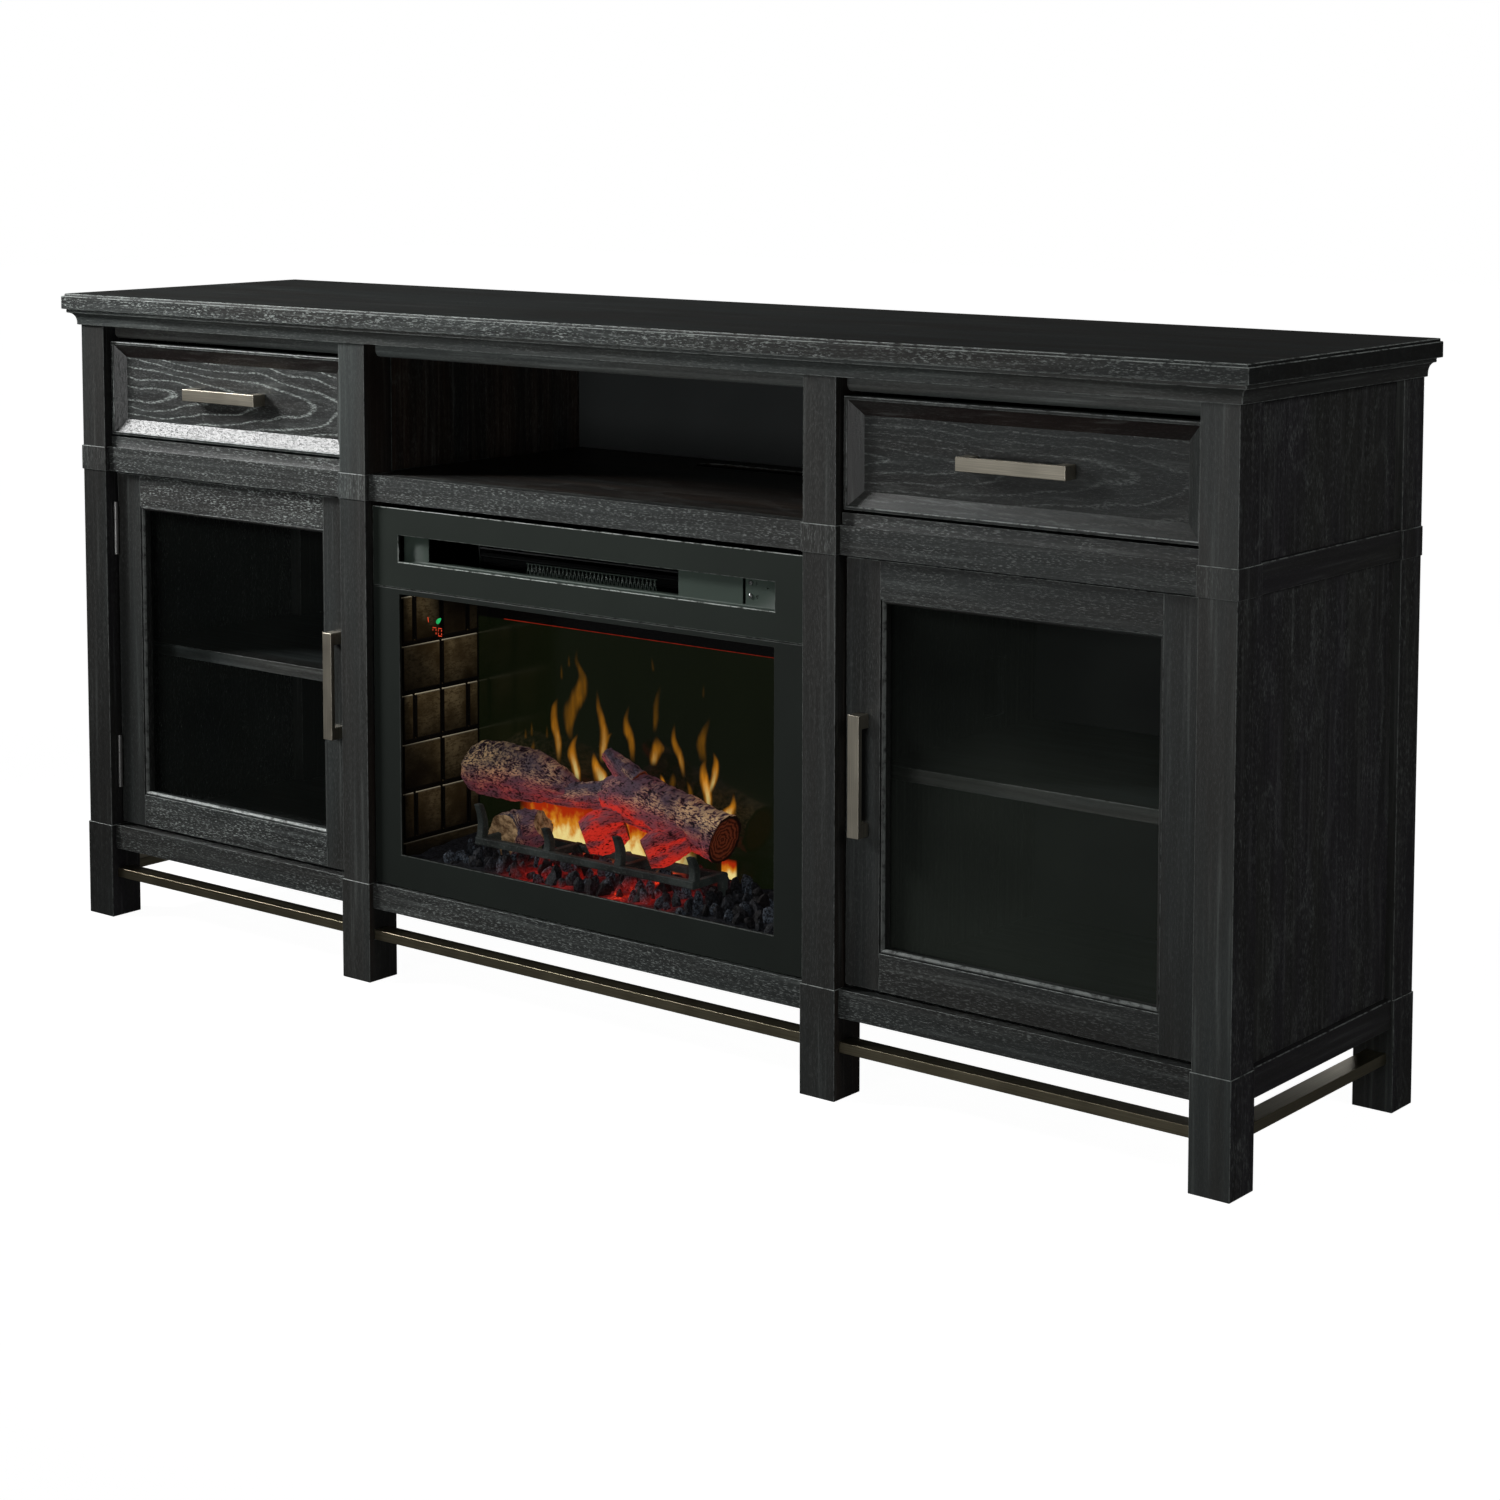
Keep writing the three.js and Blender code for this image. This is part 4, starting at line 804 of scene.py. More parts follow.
class CONSOLE_OT_materials(bpy.types.Operator):
    """Makes the shader groups and the finishes"""

    bl_idname = "console.materials"
    bl_label = "Finishes"

    def execute(self, context):
        colours = context.scene.console_finish
        oak_group()
        wear_and_highlight_group()
        brushed_group()
        dust_group()
        oak_material("charcoal_oak", colours, colours.stain, 0.8, 0.2, 0.7, 0.5, 0.08)
        oak_material("panel_oak", colours, colours.stain, 0.95, 1.0, 0.8, 0.5, 0.04)
        oak_material("top_oak", colours, colours.stain, 0.95, 0.2, 0.9, 0.3, 0.14)
        oak_material("side_oak", colours, colours.side_stain, 0.5, 0.3, 0.45, 0.3, 0.1)
        oak_material("inside_oak", colours, colours.inside_stain, 0.2, 0.3, 0.4, 0.35, 0.1)
        oak_material("bay_oak", colours, colours.bay_stain, 0.25, 0.5, 0.4, 0.3, 0.1)
        oak_material("bevel_oak", colours, colours.bevel_shade, 0.35, 0.2, 0.8, 0.3, 0.1)
        coated_material("painted_back", colours.back_board, 0.6, 0.3)
        brushed_material("brushed_nickel", colours.nickel, 0.34)
        brushed_material("aged_bronze", colours.bronze, 0.3)
        brushed_material("plain_steel", colours.steel, 0.36)
        brushed_material("bright_chrome", shade(220, 222, 222), 0.12)
        coated_material("fan_blades", shade(34, 36, 36), 0.45, 0.4)
        coated_material("firebox_coat", colours.firebox_black, 0.5, 0.25, colours.rubbed_and_highlit_steel, 1.0)
        coated_material("trim_coat", shade(23, 29, 25), 0.5, 0.25, colours.rubbed_and_highlit_steel, 0.1)
        # Painted light: the casing inside is a paler grey than the coat outside, so the dark recess behind
        # the slot shows
        coated_material("firebox_inside", shade(60, 68, 61), 0.6, 0.2)
        coated_material("heater_plate", colours.panel_grey, 0.45, 0.3, colours.rubbed_and_highlit_steel, 0.5)
        glass_material("door_pane", colours.glass_tint, shade(92, 100, 92), 0.2, 0.5)
        glass_material("fire_pane", shade(3, 4, 3), shade(7, 8, 7), 0.12, 0.4)
        brick_material(colours)
        screen_material(colours)
        log_material(colours)
        end_grain_material()
        ember_material(colours)
        iron_material()
        flame_material(colours)
        glow_material(colours)
        light_material("red_light", shade(255, 84, 50), 1.3)
        light_material("green_light", shade(48, 214, 120), 1.0)
        light_material("red_line", shade(160, 36, 20), 1.0)
        return {"FINISHED"}


def round_the_corner(face):
    """The cornice's grain follows each length of moulding"""
    centre = face.calc_center_median()
    side = abs(centre.x) - abs(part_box("front_post_right")[1].x)
    front = CASE_FRONT - centre.y
    return "y" if side > front else "x"


# Painted light: how much lighter than the stain each post's front is made, above the belt and below it
POST_PAINTED_LIGHT = {
    "front_post_left": (0.0, -0.3),
    "inner_post_left": (0.8, 0.2),
    "inner_post_right": (0.3, 0.0),
    "front_post_right": (0.75, 0.5),
    "rear_post_left": (0.8, 0.8),
    "rear_post_right": (1.2, 0.8),
}


class CONSOLE_OT_case(bpy.types.Operator):
    """Top, mouldings, rails, posts, side panels, boards and shelves"""

    bl_idname = "console.case"
    bl_label = "Case"

    def execute(self, context):
        edge = context.scene.console_sizes.board_edge
        self.front_boards(edge)
        for side, outward in zip(SIDES, (1, -1)):
            for name in ("front_post", "inner_post", "rear_post"):
                self.post(f"{name}_{side}", outward, edge)
            self.bay(side, outward, edge)
        # Painted shade: the deck is made darker
        dressed("deck", "bay_oak", "inside_wood", "x", edge, tone=lambda face: -0.3)
        dressed("bottom_panel", "inside_oak", "inside_wood", "x", edge)
        dressed("back_panel", "painted_back", "back_board", "x", edge / 2)
        return {"FINISHED"}

    def front_boards(self, edge):
        """The slab, the cornice and the rails across the front"""
        wood = "charcoal_wood"
        slab_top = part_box("top_slab")[1].z
        upper_face = slab_top - 8 * MM
        frieze_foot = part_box("drawer_front_right")[1].z + 12 * MM
        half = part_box("side_belt_right")[1].x + BLOCK_STEP
        mitres = [((side * half, CASE_FRONT, 0.8), (side, 1.0, 0.0)) for side in (1, -1)]

        def slab_pores(face):
            if face.normal.z > 0.9 and face.calc_center_median().z > upper_face:
                return 0.1
            return 0.25 if abs(face.normal.x) > 0.7 else 1.5

        # Painted light and shade: the slab's ends darker, its top and front a little lighter
        def slab_painted_light(face):
            if abs(face.normal.x) > 0.7:
                return -0.6
            return 0.1 if face.normal.z > 0.9 else 0.2

        # Painted light: the cornice's front faces are made lighter
        def cornice_painted_light(face):
            return 0.9 if face.normal.y < -0.2 else None

        # Painted light: the frieze is made lighter under the cornice, most along its rounded foot
        def frieze_painted_light(face):
            if abs(face.normal.y) < 0.2 and face.normal.z > -0.2:
                return None
            return 2.8 if face.calc_center_median().z < frieze_foot else 1.7

        dressed("top_slab", "top_oak", wood, "x", edge, open_grain=slab_pores, tone=slab_painted_light)
        moulding = {"cuts": mitres, "open_grain": 0.5, "plain": 0.5, "tone": cornice_painted_light}
        dressed("cornice_moulding", "charcoal_oak", wood, round_the_corner, edge, **moulding)
        dressed("frieze_rail", "charcoal_oak", wood, "x", edge, open_grain=0.3, tone=frieze_painted_light)
        for rail, share in (("belt_rail", 1.0), ("base_rail", 0.9)):
            dressed(rail, "charcoal_oak", wood, "x", edge, open_grain=share, plain=0.45)

    def post(self, name, outward, edge):
        """A post, with its two flanks in a finish of their own"""
        inner = name.startswith("inner")
        belt_low, belt_high = (corner.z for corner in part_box("belt_rail"))
        upper, lower = POST_PAINTED_LIGHT[name]

        def pores(face):
            if belt_low < face.calc_center_median().z < belt_high:
                return 0.7
            return 1.8 if not inner and face.normal.x * outward > 0.7 else 0.1

        # Painted light on the post's front, from the table of post fronts
        def tone(face):
            if face.normal.y > -0.2:
                return None
            return upper if face.calc_center_median().z > belt_low else lower

        flank = ("bay_oak" if inner else "side_oak", lambda face: abs(face.normal.x) > 0.7)
        dressed(name, "charcoal_oak", "charcoal_wood", "z", edge, open_grain=pores, other=flank, tone=tone)

    def bay(self, side, outward, edge):
        """The boards of one side bay"""
        wood, inside = "charcoal_wood", "inside_wood"
        # Painted light: the side panels are made a little lighter
        dressed(f"side_panel_{side}", "side_oak", wood, "z", edge, open_grain=2.2, tone=lambda face: 0.2)
        for name in ("side_belt", "side_base_rail"):
            dressed(f"{name}_{side}", "side_oak", wood, "y", edge, open_grain=0.3)
        bay_face = ("bay_oak", lambda face: face.normal.x * outward < -0.7)
        # Painted light: the partitions are made lighter
        dressed(f"partition_{side}", "inside_oak", inside, "z", edge, other=bay_face, tone=lambda face: 0.6)

        # Painted light on the shelves' front edges
        def shelf_painted_light(face):
            return max(0.0, -face.normal.y) * 2.4

        dressed(f"shelf_{side}", "inside_oak", inside, "x", edge, tone=shelf_painted_light)
        dressed(f"drawer_track_{side}", "inside_oak", inside, "y", edge)


class CONSOLE_OT_bars(bpy.types.Operator):
    """Stretcher bars between the legs"""

    bl_idname = "console.bars"
    bl_label = "Bars"

    def execute(self, context):
        edge = context.scene.console_sizes.metal_edge
        dressed("front_stretcher", "aged_bronze", "bronze_bar", "x", edge)
        for side in SIDES:
            dressed(f"side_stretcher_{side}", "aged_bronze", "bronze_bar", "y", edge)
        return {"FINISHED"}


class CONSOLE_OT_drawers(bpy.types.Operator):
    """Drawer fronts, boxes and pulls"""

    bl_idname = "console.drawers"
    bl_label = "Drawers"

    def execute(self, context):
        sizes = context.scene.console_sizes
        for side in SIDES:
            self.front(side, sizes.board_edge)
            dressed(f"drawer_box_{side}", "inside_oak", "inside_wood", "y", sizes.board_edge)
            dressed(f"drawer_pull_{side}", "brushed_nickel", "nickel_pull", "x", sizes.metal_edge)
        return {"FINISHED"}

    def front(self, side, edge):
        """A drawer front: a frame, a bevel and a sunk panel with arched grain"""
        right = side == "right"
        name = f"drawer_front_{side}"
        low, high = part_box(name)
        middle = (low.z + high.z) / 2
        slope = 0.085 if right else 0.11

        def inset(face):
            centre = face.calc_center_median()
            return min(centre.x - low.x, high.x - centre.x, centre.z - low.z, high.z - centre.z)

        def is_panel(face):
            return face.normal.y < -0.99 and inset(face) > PANEL_INSET

        def is_bevel(face):
            return -0.99 < face.normal.y < -0.5

        def frame_grain(face):
            centre = face.calc_center_median()
            upright = min(centre.x - low.x, high.x - centre.x) < PANEL_INSET + MM
            return "z" if upright and abs(face.normal.x) > 0.2 else "x"

        # More painted glint in the left drawer's panel
        def pores(face):
            return (0.45 if right else 1.1) if is_panel(face) else 0.25

        # Painted highlight on the rim's upper edges, stronger on the left drawer
        def rim_highlight(face):
            rim = face.normal.z > 0.2 and inset(face) < 2 * MM and face.normal.y < -0.1
            return (0.4 if right else 1.0) if rim else None

        # Painted light on the right drawer's lower bevel, and painted shade on its panel
        def right_painted_light(face):
            if is_bevel(face) and face.normal.z > 0.2:
                return 0.5
            return -0.2 if is_panel(face) else None

        def arched(place):
            lift = 0.004 + slope * (place.x - low.x)
            return (place.x, place.y + lift, place.z)

        dressed(
            name,
            "panel_oak",
            "charcoal_wood",
            frame_grain,
            edge,
            heart=(0.0, -low.y - 10 * MM, -middle + 6 * MM),
            bend=arched,
            open_grain=pores,
            # Painted shade: the top bevel, which faces down, takes the darker bevel finish
            other=("bevel_oak", lambda face: is_bevel(face) and face.normal.z < -0.2),
            tone=right_painted_light if right else None,
            rubbed=rim_highlight,
            # Wear, with more painted highlight on the left drawer's edges
            plain=0.25 if right else 0.6,
        )


def cuboid(mesh, low, high):
    """A closed board between two corners"""
    place = Matrix.Translation((low + high) / 2) @ Matrix.Diagonal((*(high - low), 1.0))
    bmesh.ops.create_cube(mesh, size=1.0, matrix=place)


def mitred_ring(mesh, low, high, outline):
    """A moulding round a rectangle in X and Z; the points of its outline are insets and depths"""
    corners = ((low.x, low.z, 1, 1), (high.x, low.z, -1, 1), (high.x, high.z, -1, -1), (low.x, high.z, 1, -1))
    rings = []
    for x, z, right, up in corners:
        rings.append([mesh.verts.new((x + right * inset, depth, z + up * inset)) for inset, depth in outline])
    for one, other in zip(rings, rings[1:] + rings[:1]):
        for k in range(len(outline)):
            n = (k + 1) % len(outline)
            mesh.faces.new((one[k], other[k], other[n], one[n]))


def door_boards(low, high, pane_low, pane_high):
    """Two stiles, two rails and the rounded bead in front of the pane"""
    mesh = bmesh.new()
    left, right = pane_low.x - 0.5 * MM, pane_high.x + 0.5 * MM
    foot, head = pane_low.z - 0.5 * MM, pane_high.z + 0.5 * MM
    cuboid(mesh, low, Vector((left, high.y, high.z)))
    cuboid(mesh, Vector((right, low.y, low.z)), high)
    cuboid(mesh, Vector((left, low.y, low.z)), Vector((right, high.y, foot)))
    cuboid(mesh, Vector((left, low.y, head)), Vector((right, high.y, high.z)))
    front = low.y + 2.9 * MM
    outline = [(0.0, front), (0.6 * MM, front)]
    for step in range(7):
        turn = step / 6 * math.pi / 2
        outline.append((0.8 * MM + 4.2 * MM * math.sin(turn), low.y + 5.2 * MM - 4.2 * MM * math.cos(turn)))
    outline += [(5.0 * MM, pane_low.y), (0.0, pane_low.y)]
    mitred_ring(mesh, Vector((left, 0, foot)), Vector((right, 0, head)), outline)
    bmesh.ops.recalc_face_normals(mesh, faces=mesh.faces)
    return mesh


class CONSOLE_OT_doors(bpy.types.Operator):
    """Door frames of two stiles and two rails, panes, pulls and hinges"""

    bl_idname = "console.doors"
    bl_label = "Doors"

    def execute(self, context):
        sizes = context.scene.console_sizes
        for side in SIDES:
            self.boards(side, sizes.board_edge * 0.7)
            bare(f"door_glass_{side}", "door_pane")
            dressed(f"door_pull_{side}", "brushed_nickel", "nickel_pull", "z", sizes.metal_edge)
            for leaf in ("fixed", "moving"):
                for place in ("upper", "lower"):
                    hinge = f"hinge_{leaf}_leaf_{side}_{place}"
                    dressed(hinge, "plain_steel", "hinge_steel", "z", sizes.sheet_edge / 2)
        return {"FINISHED"}

    def boards(self, side, edge):
        """The door's frame; pores show on its rails, and the bead takes a painted highlight where it faces
        up, stronger on the left door, and a little where it faces right
        """
        right = side == "right"
        name = f"door_frame_{side}"
        low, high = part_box(name)
        pane_low, pane_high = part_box(f"door_glass_{side}")

        def beside_pane(face):
            return pane_low.x < face.calc_center_median().x < pane_high.x

        def at_pane_height(face):
            return pane_low.z < face.calc_center_median().z < pane_high.z

        def grain(face):
            if not beside_pane(face):
                return "z"
            across, upright = ([vert.co[axis] for vert in face.verts] for axis in (0, 2))
            return "x" if max(across) - min(across) > max(upright) - min(upright) else "z"

        # More painted glint on the left door's rails
        def pores(face):
            rail = beside_pane(face) and not at_pane_height(face)
            return (0.7 if right else 1.5) if rail else 0.15

        def bead_highlight(face):
            if not (beside_pane(face) and at_pane_height(face)) or face.normal.y > -0.2:
                return None
            return max(0.0, (0.8 if right else 1.6) * face.normal.z + 0.5 * face.normal.x)

        built = door_boards(low, high, pane_low, pane_high)
        rules = {"open_grain": pores, "rubbed": bead_highlight, "mesh": built}
        dressed(name, "charcoal_oak", "charcoal_wood", grain, edge, **rules)


class CONSOLE_OT_firebox(bpy.types.Operator):
    """Casing, trim, heater slot, pane, brickwork and screen"""

    bl_idname = "console.firebox"
    bl_label = "Firebox"

    def execute(self, context):
        sizes = context.scene.console_sizes
        dressed("firebox_casing", "firebox_inside", "black_steel", "x", sizes.sheet_edge)
        dressed("firebox_trim", "trim_coat", "black_steel", "x", sizes.plate_edge)
        # The fascia's upper edges take painted highlights in rubbed steel
        dressed("heater_fascia", "firebox_coat", "black_steel", "x", sizes.plate_edge, plain=0.2)
        self.heater_plate(sizes)
        dressed("blower_wheel", "fan_blades", "fan_metal", "x", sizes.sheet_edge / 4)
        for name in ("power_button", "mode_button"):
            dressed(name, "bright_chrome", "button_chrome", "y", sizes.sheet_edge / 2)
        for name, material in (("firebox_glass", "fire_pane"), ("flame_screen", "flame_mirror")):
            bare(name, material)
        self.brickwork(sizes)
        return {"FINISHED"}

    def heater_plate(self, sizes):
        """The plate behind the slot, with the wires of its grille left bright"""
        plate = dressed("heater_panel", "heater_plate", "grey_panel", "x", sizes.sheet_edge / 4)
        plate.data.materials.append(bpy.data.materials["plain_steel"])
        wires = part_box("heater_panel")[0].y + 22.4 * MM
        largest = 30 * MM * MM
        for face in plate.data.polygons:
            if abs(face.center.y - wires) < 0.6 * MM and face.area < largest:
                face.material_index = 1

    def brickwork(self, sizes):
        """Bricks with painted highlights on their upper arrises; the joints are marked, and so are the
        painted light and shadow on each brick
        """
        mesh = board_mesh("brick_liner")
        joint = mesh.loops.layers.float.new("joint")
        lit = mesh.loops.layers.float.new("lit")
        inner = SCREEN_HIGH.x
        for face in mesh.faces:
            deep = abs(face.normal.x) > 0.9 and abs(face.calc_center_median().x) > inner + 2 * MM
            for loop in face.loops:
                loop[joint] = 1.0 if deep else 0.0
        # Painted highlight: only the arrises that face up are marked
        eased(mesh, sizes.brick_arris, plain=0.0)
        worn = mesh.loops.layers.float["worn"]
        reach = SCREEN_LOW.y - PANE_HIGH.y
        for face in mesh.faces:
            heights = [vert.co.z for vert in face.verts]
            foot, tall = min(heights), max(heights) - min(heights)
            for loop in face.loops:
                place = loop.vert.co
                rise = (place.z - FIRE_FLOOR) / (SCREEN_HIGH.z - FIRE_FLOOR)
                back = (place.y - PANE_HIGH.y) / reach
                # Painted light and shadow: each brick is lightest at its head; the light falls off low down,
                # near the pane and at the far end, and the lamp strip casts a shadow
                shadow = limited((back - 0.24) / 0.14) * limited((rise - 0.8) / 0.06)
                low = min(1.0, 0.3 + rise * 1.1) * (1.0 if back > 0.06 else 0.15) * min(1.0, 2.2 - 1.6 * back)
                own = 0.22 + 0.78 * (place.z - foot) / tall if tall > 20 * MM else 1.0
                loop[lit] = low * own * (1.0 - shadow)
                # Painted shade: slanted arrises take the mortar's dark the less they face up; flat tops,
                # bottoms and ends are darkened as joints
                if 0.05 < abs(face.normal.x) < 0.95 or abs(face.normal.z) > 0.95 or abs(face.normal.y) > 0.95:
                    loop[joint] = 1.0 - loop[worn]
        lay_grain(mesh, "y", (0.0, 0.0, 0.0))
        new_piece("brick_liner_finish", mesh, "case", ["firebrick"], ["brick_liner"])


# Logs: stations along each log, in millimetres from the screen's middle foot:
# across, forward of the screen, up from the fire's floor, radius
LEFT_LOG = [
    (-256, 31, 108, 28),
    (-247, 32, 108, 32.5),
    (-225, 32, 108, 34),
    (-175, 33, 108, 32),
    (-145, 34, 106, 27.5),
    (-115, 35, 101, 19.5),
    (-96, 36, 98, 13),
]
MIDDLE_LOG = [
    (-150, 35, 91, 11),
    (-120, 36, 94, 15),
    (-85, 37, 97, 15.5),
    (-55, 37, 101, 17.5),
    (-28, 37, 104, 20),
]
RIGHT_LOG = [
    (-46, 36, 104, 17),
    (-30, 36, 105, 26),
    (-5, 36, 105, 31),
    (44, 35, 95, 30.5),
    (80, 33, 87, 29),
    (112, 32, 79, 28),
    (129, 32, 75, 29),
]
STUB = [(2, 36, 124, 17), (-18, 37, 136, 14), (-34, 37, 146, 10.5), (-45, 37, 153, 8)]
LEFT_SPLIT = [(-184, 68, 40, 25), (-165, 65, 46, 26), (-145, 61, 52, 24), (-126, 58, 58, 19)]
MIDDLE_SPLIT = [(-38, 86, 62, 19), (-28, 76, 67, 25), (-14, 64, 73, 25), (-2, 54, 78, 19)]
RIGHT_SPLIT = [(56, 86, 58, 17), (65, 76, 63, 21), (77, 64, 68, 20), (88, 52, 74, 16)]


def smooth_stations(stations, steps):
    """Catmull-Rom points through the stations"""
    rows = [Vector(s) for s in stations]
    rows = [rows[0] * 2 - rows[1]] + rows + [rows[-1] * 2 - rows[-2]]
    result = []
    for i in range(1, len(rows) - 2):
        a, b, c, d = rows[i - 1 : i + 3]
        for k in range(steps):
            t = k / steps
            bend = (2 * a - 5 * b + 4 * c - d) * t * t + (3 * b - a - 3 * c + d) * t ** 3
            result.append(0.5 * (2 * b + (c - a) * t + bend))
    result.append(rows[-2])
    return result


def turn_wave(turn):
    """A number that runs round a log and meets itself"""
    return math.sin(turn) + 0.35 * math.sin(2 * turn + 1.0)


def noise_place(seed):
    """Where in the noise a log's forms are read"""
    return Vector((seed * 3.1, seed * 1.7, seed * 2.3))


def log_rings(stations, seed, depth, split, slant):
    """Rings of bark: the middle of each, its points with their ridges and directions, and the way to it"""
    path = smooth_stations([tuple(v * MM for v in s) for s in stations], LOG_ROWS)
    away = noise_place(seed)
    rings = []
    travelled = 0.0
    for i, row in enumerate(path):
        before, after = path[max(i - 1, 0)], path[min(i + 1, len(path) - 1)]
        ahead = Vector((after.x - before.x, before.y - after.y, after.z - before.z)).normalized()
        across = Vector((0, 0, 1)).cross(ahead).normalized()
        upward = ahead.cross(across)
        middle = Vector((row.x, SCREEN_LOW.y - row.y, FIRE_FLOOR + row.z))
        if i:
            travelled += (middle - rings[-1][0]).length
        ring = []
        for k in range(LOG_SIDES):
            turn = k / LOG_SIDES * 2 * math.pi
            out = across * math.cos(turn) + upward * math.sin(turn)
            spot = Vector((travelled * 26, out.dot(across) * 3.2, out.dot(upward) * 3.2)) + away
            ridge = 1 - abs(noise.noise(Vector((travelled * 70, turn_wave(turn) * 7, seed))) * 2)
            swell = noise.noise(spot * 0.8) * 0.09 + noise.noise(spot * 2.4) * 0.05
            radius = row.w * (1 + swell)
            if split:
                radius *= 1 - 0.24 * max(0.0, math.cos(turn * 2 + seed)) ** 2
            cut = ahead * (slant * -out.y * radius * max(0.0, 1 - travelled / (45 * MM)))
            ring.append((middle + out * (radius + depth * (ridge - 0.75)) + cut, ridge, out))
        rings.append((middle, ring, travelled))
    return rings


def log_mesh(stations, seed, depth, pale, firelight_and_glow, hollow, pale_end, split, slant):
    """A log along its stations, with cracked bark and rough ends"""
    mesh = bmesh.new()
    grain = mesh.loops.layers.float_vector.new("grain")
    crest, paleness, firelight = (mesh.loops.layers.float.new(n) for n in ("crest", "pale", "ember_heat"))
    rings = log_rings(stations, seed, depth, split, slant)
    rows = [[mesh.verts.new(point[0]) for point in ring] for _, ring, _ in rings]
    length = rings[-1][2]
    for i in range(len(rows) - 1):
        for k in range(LOG_SIDES):
            n = (k + 1) % LOG_SIDES
            picks = ((i, k), (i, n), (i + 1, n), (i + 1, k))
            face = mesh.faces.new([rows[a][b] for a, b in picks])
            for loop, (a, b) in zip(face.loops, picks):
                _, ridge, out = rings[a][1][b]
                gone = rings[a][2]
                under = limited(0.5 - out.z * 1.2)
                loop[grain] = (gone, out.x * 0.03, out.z * 0.03)
                loop[crest] = ridge
                loop[paleness] = between(pale, gone / length) * limited(0.4 + out.z * 0.9)
                # Painted firelight: undersides take more of it, split wood more all round
                reached = 0.75 + 0.3 * under if split else 0.25 + under
                loop[firelight] = between(firelight_and_glow, gone / length) * reached

    def end_face(corners, last, middle, gone):
        face = mesh.faces.new(corners if last else corners[::-1])
        face.material_index = 1
        for loop in face.loops:
            place = loop.vert.co - middle
            loop[grain] = (gone, place.y, place.z)
            loop[paleness] = pale_end

    away = noise_place(seed)
    for end, beside in ((0, 1), (-1, -2)):
        middle, ring, gone = rings[end]
        inward = (rings[beside][0] - middle).normalized()
        outer = rows[end]
        for size in (0.72, 0.4, 0.12):
            inner = []
            for base, _, _ in ring:
                rough = noise.noise(base * 160 + away) * 2.2 * MM
                sunk = (1 - size) * 2.5 * MM * hollow + rough
                inner.append(mesh.verts.new(middle + (base - middle) * size + inward * sunk))
            for k in range(LOG_SIDES):
                n = (k + 1) % LOG_SIDES
                end_face([outer[k], outer[n], inner[n], inner[k]], end == -1, middle, gone)
            outer = inner
        end_face(outer, end == -1, middle, gone)
    bmesh.ops.recalc_face_normals(mesh, faces=mesh.faces)
    return mesh


# Each log: its stations and seed, how pale it is and how much painted red firelight it takes from start to
# end, how hollow and how pale its ends are, whether it is split wood, and how far its start is sawn aslant
LOGS = {
    "log_left": (LEFT_LOG, 1, (1.25, 0.1), (0.3, 0.9), 0.5, 0.0, False, 0.0),
    "log_middle": (MIDDLE_LOG, 2, (0.25, 0.35), (0.7, 0.8), 0.5, 0.0, False, 0.0),
    "log_right": (RIGHT_LOG, 3, (0.0, 0.75), (1.5, 0.75), 1.5, 0.0, False, 0.0),
    "log_stub": (STUB, 4, (0.3, 0.0), (0.6, 0.8), 0.5, 0.0, False, 0.0),
    "split_left": (LEFT_SPLIT, 5, (0.45, 0.2), (0.1, 0.35), 0.5, 1.0, True, 1.7),
    "split_middle": (MIDDLE_SPLIT, 6, (0.1, 0.1), (1.9, 2.1), 0.5, 0.0, True, 0.0),
    "split_right": (RIGHT_SPLIT, 7, (0.1, 0.1), (1.4, 1.7), 0.5, 0.0, True, 0.0),
}


class CONSOLE_OT_logs(bpy.types.Operator):
    """The moulded logs"""

    bl_idname = "console.logs"
    bl_label = "Logs"

    def execute(self, context):
        depth = context.scene.console_sizes.bark_depth
        finishes = ["log_bark", "log_end"]
        for name, (stations, seed, *looks) in LOGS.items():
            mesh = log_mesh(stations, seed, depth, *looks)
            new_piece(name, mesh, "case", finishes, ["log_set"], smooth=True)
        return {"FINISHED"}


# Where the bed glows: across, reach and strength
GLOW_SPOTS = ((-100, 30, 1.0), (-42, 17, 0.9), (38, 18, 1.2), (76, 12, 0.8), (114, 9, 0.5))


def glow_at(x):
    """Heat of the bed at a place across"""
    return max(power * math.exp(-(((x / MM - middle) / reach) ** 2)) for middle, reach, power in GLOW_SPOTS)


def coal(mesh, centre, size, draw, firelight_and_glow, pale, layers):
    """One broken coal: a ball with its sides split off"""
    made = bmesh.ops.create_icosphere(mesh, subdivisions=2, radius=1.0)
    stretch = Vector((draw.uniform(0.5, 0.9), draw.uniform(0.6, 1.0), draw.uniform(1.0, 1.7))) * size
    turned = Matrix.Rotation(draw.uniform(0, math.tau), 3, "Z")
    turned = turned @ Matrix.Rotation(draw.uniform(-0.5, 0.5), 3, "X")
    away = Vector((draw.uniform(0, 50), draw.uniform(0, 50), draw.uniform(0, 50)))
    splits = []
    for _ in range(6):
        side = Vector((draw.gauss(0, 1), draw.gauss(0, 1), draw.gauss(0, 1))).normalized()
        splits.append((side, draw.uniform(0.45, 0.8)))
    for vert in made["verts"]:
        place = vert.co.normalized()
        place *= 1.0 + 0.16 * noise.noise(place * 1.9 + away)
        for side, reach in splits:
            over = place.dot(side) - reach
            if over > 0:
                place -= side * over
        vert.co = centre + turned @ Vector(a * b for a, b in zip(place, stretch))
    faces = {face for vert in made["verts"] for face in vert.link_faces}
    for face in faces:
        for loop in face.loops:
            low = 0.7 - 0.9 * (loop.vert.co.z - centre.z) / stretch.z
            loop[layers[0]] = firelight_and_glow * limited(low, high=1.3)
            loop[layers[1]] = pale


